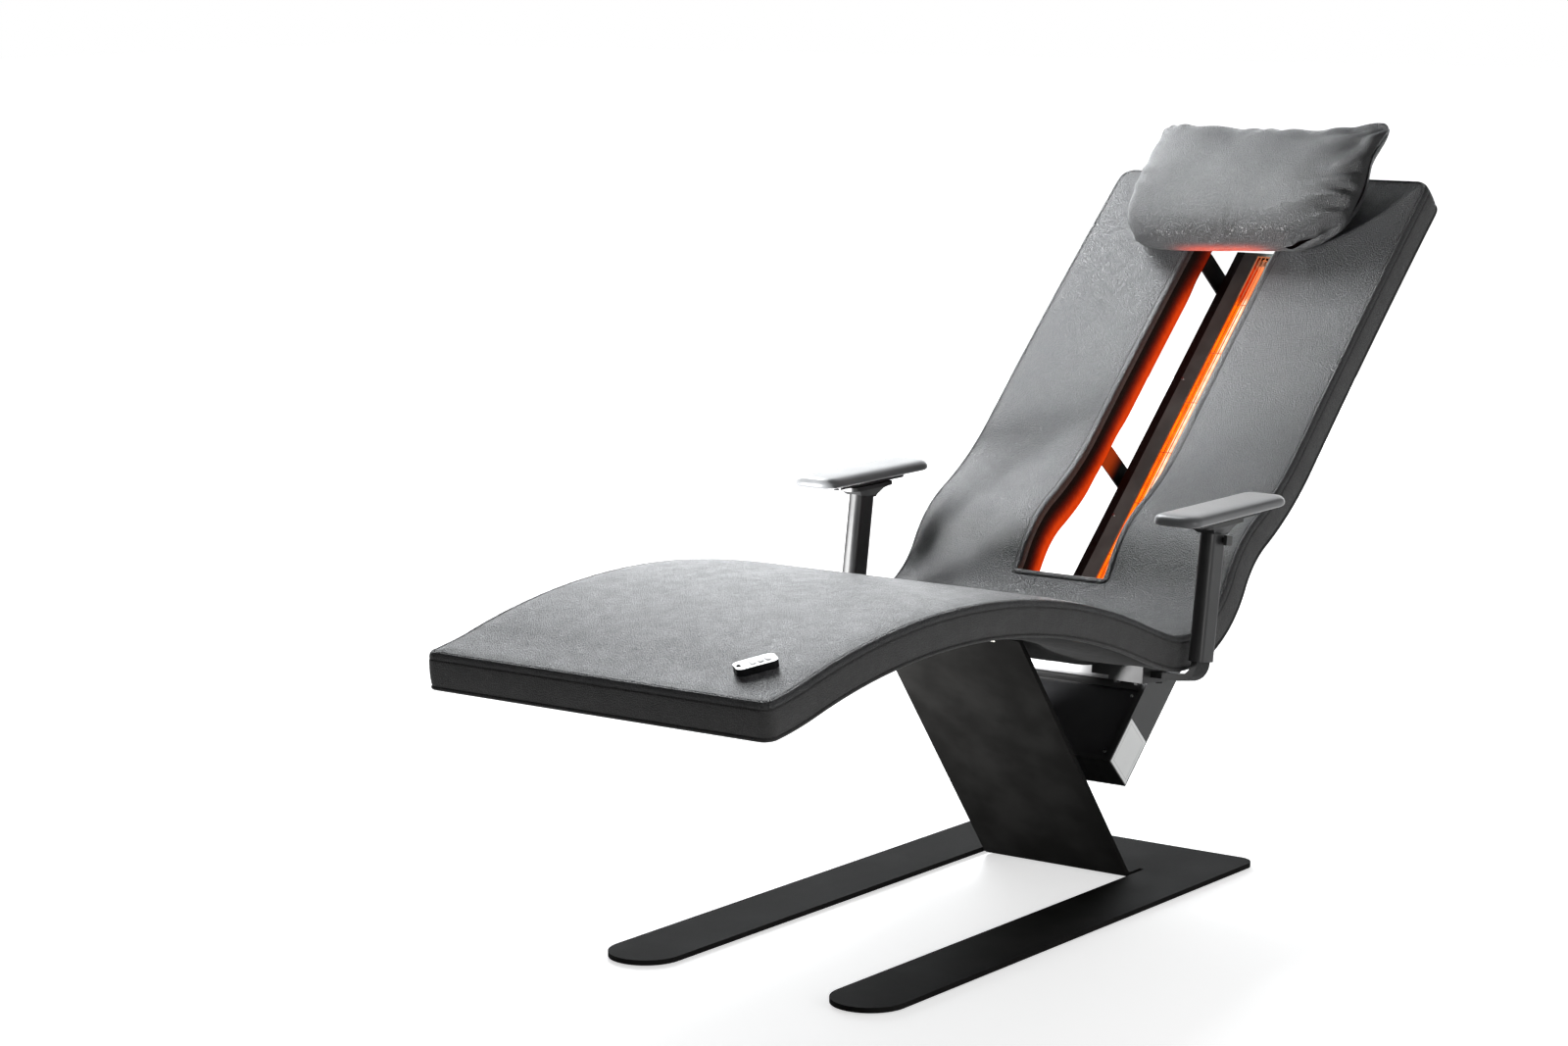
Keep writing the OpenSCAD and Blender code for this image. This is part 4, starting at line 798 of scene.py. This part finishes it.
def shell_leather():
    """The shell's top, side band and slot walls, made flat and then wrapped."""
    across, along = shell_lines()
    piece, i, j = grid("shell_leather", len(across) - 1, len(along) - 1)
    x, s = across[i], along[j]
    # the rounded corners draw the side lines in near both ends
    draw = corner_in(FOOT_CORNER, s) + corner_in(BACK_CORNER, TOTAL - s)
    x = np.sign(x) * (np.abs(x) - draw * np.clip((np.abs(x) - SLOT_X) / (HALF_W - SLOT_X), 0, 1))
    rim = (i == 0) | (i == len(across) - 1) | (j == 0) | (j == len(along) - 1)
    move_points(piece, np.stack([x, s, np.where(rim, 0.0, top_height(x, s))], 1))
    cut_out(piece, SLOT_X - 0.001, SLOT_LOW + 0.0005, SLOT_HIGH - 0.0005)
    n_top = len(piece.data.vertices)
    extrude_rim(piece, lambda p: edge_gap(p[0], p[1]) < 0.0005, BAND_STEPS, band_move)
    n_band = len(piece.data.vertices)
    extrude_rim(
        piece, lambda p: slot_gap(p[0], p[1]) < 0.0005 and edge_gap(p[0], p[1]) > 0.02, WALL_STEPS, wall_move)
    flat = points(piece)
    shell_marks(piece, flat, n_top, n_band)
    is_wall = [min(p.vertices) >= n_top and max(p.vertices) >= n_band for p in piece.data.polygons]
    move_points(piece, wrap(flat))
    smooth(piece, 60)
    settle(piece, "lounger", SHELL_LEATHER, ["upholstery"])
    piece.data.materials.append(WALL_LEATHER)
    piece.data.polygons.foreach_set("material_index", np.array(is_wall, int))


shell_leather()


def rounded_loop(half_x, low, high, radii, count):
    """Points and directions along a rounded rectangle laid out flat, evenly spaced."""
    r0, r1 = radii
    corners = [
        (half_x - r0, low + r0, r0, -90), (half_x - r1, high - r1, r1, 0),
        (-half_x + r1, high - r1, r1, 90), (-half_x + r0, low + r0, r0, 180)]
    path = []
    for cx, cs, r, a0 in corners:
        for k in range(9):
            a = math.radians(a0 + 90 * k / 8)
            path.append((cx + r * math.cos(a), cs + r * math.sin(a)))
    path = np.array(path + path[:1])
    run = np.concatenate([[0], np.cumsum(np.hypot(*np.diff(path, axis=0).T))])
    at = np.linspace(0, run[-1], count, endpoint=False)
    nudge = 1e-4
    p = np.stack([np.interp(at, run, path[:, k]) for k in (0, 1)], 1)
    q = np.stack([np.interp((at + nudge) % run[-1], run, path[:, k]) for k in (0, 1)], 1)
    return p, (q - p) / nudge


STITCH_LONG = 0.0037
STITCH_THICK = 0.00105
STITCH_LEAN = 0.16
STITCH_PROUD = 0.00035


def stitch_row(name, half_x, low, high, radii):
    """Copies of one stitch along a rounded rectangle, a pitch apart and leaning a little."""
    run = 4 * half_x + 2 * (high - low) - 3.4 * sum(radii) / 2
    places, directions = rounded_loop(half_x, low, high, radii, round(run / PITCH))
    unit, faces = take_form(name, bpy.ops.mesh.primitive_uv_sphere_add, segments=6, ring_count=5, radius=0.5)
    c, k = math.cos(STITCH_LEAN), math.sin(STITCH_LEAN)
    length, breadth, rise = (unit * (STITCH_LONG, STITCH_THICK, STITCH_THICK)).T
    copies = []
    for (x, s), (ux, us) in zip(places, directions):
        dx, ds = ux * c - us * k, ux * k + us * c
        top = top_height(np.array([x]), np.array([s]))[0] + STITCH_PROUD
        local = np.stack([x + length * dx - breadth * ds, s + length * ds + breadth * dx, top + rise], 1)
        copies.append((local, faces))
    sewn_on(name, copies, THREAD)


stitch_row("edge_stitches", HALF_W - OUTER_STITCH, OUTER_STITCH, TOTAL - OUTER_STITCH,
           (FOOT_CORNER - OUTER_STITCH, BACK_CORNER - OUTER_STITCH))
stitch_row("slot_stitches", SLOT_X + SLOT_STITCH, SLOT_LOW - SLOT_STITCH, SLOT_HIGH + SLOT_STITCH,
           (SLOT_STITCH, SLOT_STITCH))

# the band's own form under its closing seams: how deep, and how far in
BAND_DEPTHS = [0.002, 0.004, 0.009, 0.016, 0.023, 0.030, 0.0365, 0.041]
BAND_INWARD = [0.0002, -0.0002, 0.0004, 0.0012, 0.0015, 0.0012, 0.0005, 0.0003]
FOOT_SEAM_X = 0.2815
BACK_SEAM_X = 0.2715


def band_seams():
    """Upright closing seams of the side band, just round the shell's four corners: thin near-black strips,
    painted shadow in the seams.
    """
    unit, faces = take_form(
        "band_seams", bpy.ops.mesh.primitive_grid_add, x_subdivisions=3, y_subdivisions=24, size=1)
    turned = [face[::-1] for face in faces]
    h = -0.0215 + unit[:, 1] * 0.0375
    out = 0.0007 * (1 - (2 * unit[:, 0]) ** 2) - np.interp(-h, BAND_DEPTHS, BAND_INWARD) - 0.0003
    across = unit[:, 0] * 0.0016
    copies = []
    for side in (-1, 1):
        copies.append((np.stack([side * FOOT_SEAM_X + across, -out, h], 1), faces))
        copies.append((np.stack([side * BACK_SEAM_X + across, TOTAL + out, h], 1), turned))
    sewn_on("band_seams", copies, PAINTED_SEAM_SHADOW)


band_seams()


# the cloth under the shell
CLOTH_HALF = 0.296
CLOTH_SLOT = 0.0875
CLOTH_CLEAR = 0.0075
CLOTH_EDGE = [0.0, 0.003, 0.010, 0.024]


def cloth_lines():
    """The places of the underside cloth's grid lines, across and along."""
    half = lines_between(CLOTH_SLOT, 0.225, 0.0125) + [0.25] + [CLOTH_HALF - d for d in reversed(CLOTH_EDGE)]
    middle = lines_between(-CLOTH_SLOT, CLOTH_SLOT, 0.0175)[1:-1]
    across = [-x for x in reversed(half)] + middle + half
    along = [0.008 + d for d in CLOTH_EDGE] + lines_between(0.045, SLOT_LOW - CLOTH_CLEAR, 0.010)
    along += lines_between(SLOT_LOW + 0.002, SLOT_HIGH - 0.002, 0.010)[1:-1]
    along += lines_between(SLOT_HIGH + CLOTH_CLEAR, TOTAL - 0.045, 0.010)
    along += [TOTAL - 0.008 - d for d in reversed(CLOTH_EDGE)]
    return np.array(across), np.array(along)


def under_cloth():
    """The cloth that closes the shell's underside, bulging between its fittings."""
    across, along = cloth_lines()
    piece, i, j = grid("under_cloth", len(across) - 1, len(along) - 1)
    x, s = across[i], along[j]
    inside = crowned(np.minimum(edge_gap(x, s) - 0.008, 1.0))
    off_slot = crowned(2 * np.clip(slot_gap(x, s) - 0.0070, 0, None))
    bulge = inside * (0.45 + 0.55 * off_slot) * free_of_fittings(x, s)
    h = -0.0456 - 0.0095 * bulge + 0.0006 * ripple(x, s, 0.06, 11) * bulge
    hem = (np.abs(x) > CLOTH_HALF - 0.0005) | (s < 0.0085) | (s > TOTAL - 0.0085)
    move_points(piece, np.stack([x, s, np.where(hem, -0.0452, h)], 1))
    cut_out(piece, CLOTH_SLOT - 0.0003, SLOT_LOW - 0.007, SLOT_HIGH + 0.007)
    turn_over()
    move_points(piece, wrap(points(piece)))
    smooth(piece, 60)
    settle(piece, "lounger", UNDER_CLOTH, ["underside_cover"])


under_cloth()


# the pillow
# the least gap kept under it
PILLOW_GAP = 0.0004
# how much of its cut size it keeps once it is stuffed
DRAWN_IN = 0.955
# where its corners start to round off, as shares of its half width and half height
ROUND_U = 0.89
ROUND_V = 0.82
# the cloth run that fills it, and how far it may move a point
FILLING = {
    "quality": 6, "mass": 0.35, "tension_stiffness": 18, "bending_stiffness": 0.6, "use_pressure": True,
    "uniform_pressure_force": 3.0, "shrink_min": -0.022}
FILLING_MOVE = 0.004


def pillow_place(local):
    """From the pillow's own frame (across, up the back, off the back) to the lounger's."""
    a = float(np.interp(PILLOW_S, LINE_S, LINE_A))
    y0 = np.interp(PILLOW_S, LINE_S, LINE_Y)
    z0 = np.interp(PILLOW_S, LINE_S, LINE_Z)
    across, up = local[:, 0], local[:, 1]
    off = local[:, 2] + TOP + PILLOW_GAP
    y = y0 + up * math.cos(a) - off * math.sin(a)
    z = z0 + up * math.sin(a) + off * math.cos(a)
    return np.stack([across + PILLOW_X, y, z], 1)


def off_the_back(co):
    """Lifts the points that lie lower than the pillow's least gap."""
    co[:, 2] = np.maximum(co[:, 2], PILLOW_GAP)
    return co


def stuffed(u, v):
    """How full the pillow is over the unit square, from 0 at its seam: boxy above, softer below."""
    across = 1 - np.where(u > 0, np.abs(u) ** 3.4, np.abs(u) ** 8)
    along = np.where(v > 0, 1 - np.abs(v) ** 3.8, np.clip(1 - np.abs(v) ** 1.6, 0, 1) ** 1.25)
    return np.clip(across * along, 0, 1) ** np.where(u > 0, 0.50, 0.46)


def past(k, edge):
    """How far a point lies past an edge, as a share of what is outside it."""
    return np.clip((np.abs(k) - edge) / (1 - edge), 0, 1)


def rounded_square(u, v):
    """Draws the corners of the unit square in."""
    cu, cv = past(u, ROUND_U), past(v, ROUND_V)
    round_off = np.maximum(cu, cv) / np.maximum(np.hypot(cu, cv), 1e-9)
    au = np.where(cu > 0, ROUND_U + (1 - ROUND_U) * cu * round_off, np.abs(u))
    av = np.where(cv > 0, ROUND_V + (1 - ROUND_V) * cv * round_off, np.abs(v))
    return np.sign(u) * au, np.sign(v) * av


def pillow_creases(u, v, x, y):
    """Puckers along the seams, strongest at the ends, and folds that fan out of the drawn-out corner."""
    in_u, in_v = 1 - np.abs(u), 1 - np.abs(v)
    end = np.exp(-(in_u * PILLOW[0] / 2 / 0.030) ** 1.3)
    long = np.exp(-(in_v * PILLOW[1] / 2 / 0.018) ** 1.3)
    end_waves = np.sin(v * 19 + 1.3 * np.sin(v * 6 + 0.7) + 12 * in_u)
    long_waves = np.sin(u * 24 + 1.6 * np.sin(u * 7))
    crease = 0.0040 * np.where(u > 0, 1.0, 0.35) * end * (1 - end) * 4 * end_waves
    crease = crease + np.where(v < 0, 0.0007, 0.0020) * long * (1 - long) * 4 * long_waves
    from_ear = np.hypot((1 - u) * 1.6, 1 - v)
    fan = np.sin(np.arctan2(1 - v, (1 - u) * 1.6 + 1e-6) * 11 + 1.2 * ripple(x, y, 0.15, 8))
    return crease + 0.0042 * fan * np.exp(-(from_ear / 0.75) ** 2) * (1 - np.exp(-(from_ear / 0.22) ** 2))


def pillow_form(u, v, front):
    """One sheet of the pillow over the unit square, one upper corner drawn out and the other peaked."""
    full = stuffed(u, v)
    u, v = rounded_square(u, v)
    right, left = np.clip(u, 0, 1), np.clip(-u, 0, 1)
    high, low = np.clip(v, 0, 1), np.clip(-v, 0, 1)
    ear, peak = right ** 5 * high ** 5, left ** 2.5 * high ** 3
    soft = 0.17 + low * (0.07 + 0.25 * right) - 0.09 * (left + right) * high
    x = u * PILLOW[0] / 2 * DRAWN_IN * np.sqrt(1 - soft * np.abs(v) ** 5)
    y = v * PILLOW[1] / 2 * DRAWN_IN * np.sqrt(1 - (soft + 0.03) * np.abs(u) ** 6)
    x = x + 0.034 * ear - 0.016 * peak - 0.006 * right * low - 0.004 * left
    x = x + 0.012 * right ** 3 * (1 - np.abs(v))
    y = y + 0.030 * ear - 0.001 * peak + low ** 3 * (0.0055 + 0.010 * u)
    seam = 0.043 + 0.024 * right ** 4 * np.clip(v + 0.5, 0, 1) ** 2 + 0.022 * peak - 0.020 * low
    w = np.where(front, seam + (PILLOW[2] - 0.007 - seam) * full, seam - 0.0415 * full ** 0.8)
    crease = pillow_creases(u, v, x, y)
    sag = 0.003 * ripple(x, y, 0.16, 21) * full
    return np.stack([x, y, w + np.where(front, crease + sag, -0.3 * crease)], 1)


def two_sheets():
    """Two grids back to back, their lines closer together near the seams."""
    piece = start(
        "pillow_case", bpy.ops.mesh.primitive_grid_add, x_subdivisions=64, y_subdivisions=44, size=2)
    flat = points(piece)
    flat[:, :2] = np.sign(flat[:, :2]) * (1 - (1 - np.abs(flat[:, :2])) ** 1.35)
    move_points(piece, flat)
    enter()
    bpy.ops.mesh.select_all(action="SELECT")
    bpy.ops.mesh.duplicate_move(TRANSFORM_OT_translate={"value": (0, 0, -0.5)})
    bpy.ops.mesh.flip_normals()
    leave()
    return piece


def sew_up():
    """Joins the two sheets where their edges meet."""
    enter()
    bpy.ops.mesh.select_all(action="SELECT")
    bpy.ops.mesh.remove_doubles(threshold=0.0001)
    bpy.ops.mesh.normals_make_consistent(inside=False)
    leave()


def fill_up(piece):
    """A short cloth run with pressure inside draws the case tight."""
    before = points(piece)
    cloth = piece.modifiers.new("filling", "CLOTH")
    for key, value in FILLING.items():
        setattr(cloth.settings, key, value)
    cloth.settings.effector_weights.gravity = 0
    for k in range(1, 17):
        bpy.context.scene.frame_set(k)
    after = np.empty(len(piece.data.vertices) * 3)
    piece.evaluated_get(bpy.context.evaluated_depsgraph_get()).data.vertices.foreach_get("co", after)
    piece.modifiers.remove(cloth)
    bpy.context.scene.frame_set(1)
    step = after.reshape(-1, 3) - before
    far = np.linalg.norm(step, axis=1, keepdims=True)
    move_points(piece, off_the_back(before + step * np.minimum(1, FILLING_MOVE / np.maximum(far, 1e-9))))


def divide(piece):
    """Divides the faces of a piece twice, so that they curve."""
    modifier = piece.modifiers.new("subsurf", "SUBSURF")
    modifier.levels = modifier.render_levels = 2
    bpy.context.view_layer.objects.active = piece
    bpy.ops.object.modifier_apply(modifier=modifier.name)


def pillow_case():
    """The stuffed pillow, and the lamp's light on the low edge over the slot."""
    piece = two_sheets()
    flat = points(piece)
    move_points(piece, off_the_back(pillow_form(flat[:, 0], flat[:, 1], flat[:, 2] > -0.25)))
    sew_up()
    fill_up(piece)
    divide(piece)
    co = off_the_back(points(piece))
    low = np.clip((0.040 - co[:, 2]) / 0.016, 0, 1) * np.clip((-0.098 - co[:, 1]) / 0.012, 0, 1)
    low = low * np.exp(-((co[:, 0] + PILLOW_X) / 0.090) ** 4)
    mark(piece, "glow", np.clip(low * 0.85, 0, 1))
    mark(piece, "seam", np.zeros(len(co)))
    mark(piece, "band", np.zeros(len(co)))
    move_points(piece, pillow_place(co))
    smooth(piece, 70)
    settle(piece, "headrest", PILLOW_LEATHER, ["pillow"])


pillow_case()


# the armrest pads
# how a pad is rounded: how far in from its outline, and how high
PAD_STEPS = [
    (0.0395, 0.0), (0.0330, 0.0), (0.0200, 0.0), (0.0090, 0.0), (0.0045, 0.0006), (0.0018, 0.0022),
    (0.0004, 0.0046), (0.0, 0.0075), (0.0005, 0.0102), (0.0017, 0.0126), (0.0036, 0.0147), (0.0062, 0.0163),
    (0.0100, 0.0175), (0.0160, 0.0184), (0.0240, 0.0189), (0.0320, 0.0191), (0.0395, 0.0192)]
PAD_THICK = PAD_STEPS[-1][1]
PAD_POINTS = 72
PAD_FORWARD = 0.003


def arm_pad(word):
    """A sphere whose rings take the outline of the pad, from its flat underside to its low crown."""
    rings = len(PAD_STEPS) + 1
    piece = start(f"pad_{word}_skin", bpy.ops.mesh.primitive_uv_sphere_add,
                  segments=PAD_POINTS, ring_count=rings, radius=1)
    low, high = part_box(f"arm_pad_{word}")
    middle = (low + high) / 2 + Vector((0, PAD_FORWARD, 0))
    ball = points(piece)
    rise = (math.pi - np.arccos(np.clip(ball[:, 2], -1, 1))) / math.pi
    ring = np.rint(rise * rings).astype(int) - 1
    turn = np.arctan2(ball[:, 1], ball[:, 0]) / (2 * math.pi)
    turn = np.rint(turn * PAD_POINTS).astype(int) % PAD_POINTS
    co = np.zeros_like(ball)
    for k, (inset, height) in enumerate(PAD_STEPS):
        radius = max(PAD_CORNER - inset, 0.0003)
        half_long = PAD[1] / 2 - inset
        outline, _ = rounded_loop(PAD[0] / 2 - inset, -half_long, half_long, (radius, radius), PAD_POINTS)
        here = ring == k
        co[here] = np.stack([*outline[turn[here]].T, np.full(here.sum(), height)], 1)
    co[ring < 0, 2] = 0
    co[ring >= len(PAD_STEPS), 2] = PAD_THICK
    co[:, 2] = co[:, 2] * (high.z - low.z) / PAD_THICK + low.z
    move_points(piece, co + np.array((middle.x, middle.y, 0)))
    smooth(piece, 60)
    settle(piece, f"pad_{word}", PAD_SKIN, [f"arm_pad_{word}"])


for word in ("left", "right"):
    arm_pad(word)


# floor, light, camera
def studio_white(name):
    """A pale floor that glows white far off, its glow painted weaker near the lounger so that the lounger's
    soft shadow shows.
    """
    f = Finish(name)
    cloud = f.noise(1.3, 3)
    x, y = f.axes("XY")
    far = ((x - 0.1) * (x - 0.1) + (y + 0.1) * (y + 0.1)) ** 0.5
    ray = f.add("LightPath", out="Is Camera Ray")
    glossy = Val(f, ray.socket.node.outputs["Is Glossy Ray"])
    # the glow that the camera and reflections see is painted weaker near the lounger: a painted dimming round
    # it
    lift = f.add("Emission", i0=(1, 1, 1), i1=(ray + glossy * 0.30) * far.ramp(0.7, 2.4, 0.62, 1.0))
    f.paint(Base_Color=f.mix(cloud, (0.80, 0.80, 0.80), (0.79, 0.79, 0.79)),
            Roughness=0.75 + cloud * 0.1, Specular_IOR_Level=0.2)
    both = f.add("AddShader", i0=Val(f, f.shader.outputs[0]), i1=lift)
    f.tree.links.new(both.socket, f.tree.nodes["Material Output"].inputs["Surface"])
    return f.material


floor = start("studio_floor", bpy.ops.mesh.primitive_plane_add, size=60, location=(0, 0, -0.0006))
floor.data.materials.append(studio_white("studio_floor"))


def studio_world():
    """White to the camera, dim for what it lights, and dimmer still in reflections."""
    world = bpy.data.worlds.new("studio")
    bpy.context.scene.world = world
    world.use_nodes = True
    sky = world.node_tree
    background = sky.nodes["Background"]
    background.inputs["Color"].default_value = (1, 1, 1, 1)
    kinds = ("LightPath", "Math", "Math", "Mix")
    path, seen, unseen, power = (sky.nodes.new("ShaderNode" + kind) for kind in kinds)
    seen.operation = "MAXIMUM"
    unseen.operation = "MULTIPLY_ADD"
    unseen.inputs[1].default_value = -0.20
    unseen.inputs[2].default_value = 0.24
    power.data_type = "FLOAT"
    power.inputs[3].default_value = 1.0
    links = [
        (path.outputs["Is Camera Ray"], seen.inputs[0]),
        (path.outputs["Is Transmission Ray"], seen.inputs[1]),
        (path.outputs["Is Glossy Ray"], unseen.inputs[0]),
        (seen.outputs[0], power.inputs[0]),
        (unseen.outputs[0], power.inputs[2]),
        (power.outputs[0], background.inputs["Strength"])]
    for output, socket in links:
        sky.links.new(output, socket)


studio_world()

COOL = (0.955, 0.98, 1.0)
NEUTRAL = (1, 1, 1)
WARM = (1.0, 0.99, 0.98)
ORANGE = (1.0, 0.19, 0.02)


def area_light(name, place, size, watts, colour):
    """A rectangular light that the camera doesn't see."""
    bpy.ops.object.light_add(type="AREA", location=place)
    lamp = bpy.context.object
    lamp.name = name
    lamp.data.shape = "RECTANGLE"
    lamp.data.size, lamp.data.size_y = size
    lamp.data.energy = watts
    lamp.data.color = colour
    lamp.visible_camera = False
    return lamp


def soft_light(name, place, towards, size, watts, colour, grid_angle=180):
    """A light turned towards a point; a grid narrows its beam, in degrees."""
    lamp = area_light(name, place, size, watts, colour)
    lamp.rotation_euler = (Vector(towards) - Vector(place)).to_track_quat("-Z", "Y").to_euler()
    lamp.data.spread = math.radians(grid_angle)


# the bright backdrop, which the flat of the leg rest mirrors, and the boxes and strips round the lounger
soft_light("backdrop_glow", (-3.9, 5.2, 1.80), (0, 0.1, 1.2), (8.5, 4.0), 360, COOL)
soft_light("upper_left_softbox", (-1.12, 0.80, 2.10), (-0.10, 0.85, 1.0), (0.6, 0.7), 19, COOL, 110)
soft_light("camera_right_strip", (3.6, -0.6, 1.0), (0.2, 0.2, 0.5), (0.7, 1.8), 29, WARM)
soft_light("backdrop_right", (4.6, 4.4, 1.2), (0, 0.3, 0.9), (4.0, 2.4), 34, NEUTRAL)
soft_light("leg_rest_softbox", (-2.6, 2.0, 2.6), (0, -0.45, 0.72), (1.6, 1.2), 6, COOL, 70)
soft_light("pedestal_fill", (-1.2, -1.6, 0.25), (-0.30, 0.0, 0.58), (0.3, 0.3), 9, NEUTRAL, 34)


def placed(place, right, up, back):
    """The matrix for a place, with x, y and z along three directions."""
    return Matrix.Translation(place) @ Matrix((right, up, back)).transposed().to_4x4()


def lamp_glow():
    """The tube's weak orange light on what is round it."""
    low = on_back(0.0, LAMP_LOW + 0.06, LAMP_FRONT + 0.004)
    high = on_back(0.0, LAMP_LOW + 0.76, LAMP_FRONT + 0.004)
    middle = (low + high) / 2
    lamp = area_light("lamp_glow", middle, (0.018, (high - low).length), 0.15, ORANGE)
    up = (high - low).normalized()
    out = (on_back(0.0, 0, 1.0) - on_back(0.0, 0, 0)).normalized()
    lamp.matrix_world = placed(middle, out.cross(up).normalized(), up, -out)


lamp_glow()

# the photo's camera: where it looks, in degrees, where it stands, and its lens in millimetres
SIGHT_AZ = math.radians(37.23)
SIGHT_EL = math.radians(9.26)
SIGHT_ROLL = math.radians(-0.38)
CAMERA_AT = (3.1769, -4.9163 + FOLD_Y, 1.5188)
LENS = 84.69
SENSOR = 36


def photo_camera():
    """The camera that took the photo, rolled a little."""
    data = bpy.data.cameras.new("photo_camera")
    camera = bpy.data.objects.new("photo_camera", data)
    bpy.context.collection.objects.link(camera)
    data.lens = LENS
    data.sensor_width = SENSOR
    data.clip_start = 0.1
    data.clip_end = 200
    flat = math.cos(SIGHT_EL)
    ahead = Vector((-math.sin(SIGHT_AZ) * flat, math.cos(SIGHT_AZ) * flat, -math.sin(SIGHT_EL)))
    level = Vector((math.cos(SIGHT_AZ), math.sin(SIGHT_AZ), 0))
    upright = level.cross(ahead)
    c, k = math.cos(SIGHT_ROLL), math.sin(SIGHT_ROLL)
    camera.matrix_world = placed(CAMERA_AT, level * c + upright * k, upright * c - level * k, -ahead)
    return camera


bpy.context.scene.camera = photo_camera()
bpy.context.scene.view_settings.view_transform = "Standard"

bpy.context.view_layer.update()
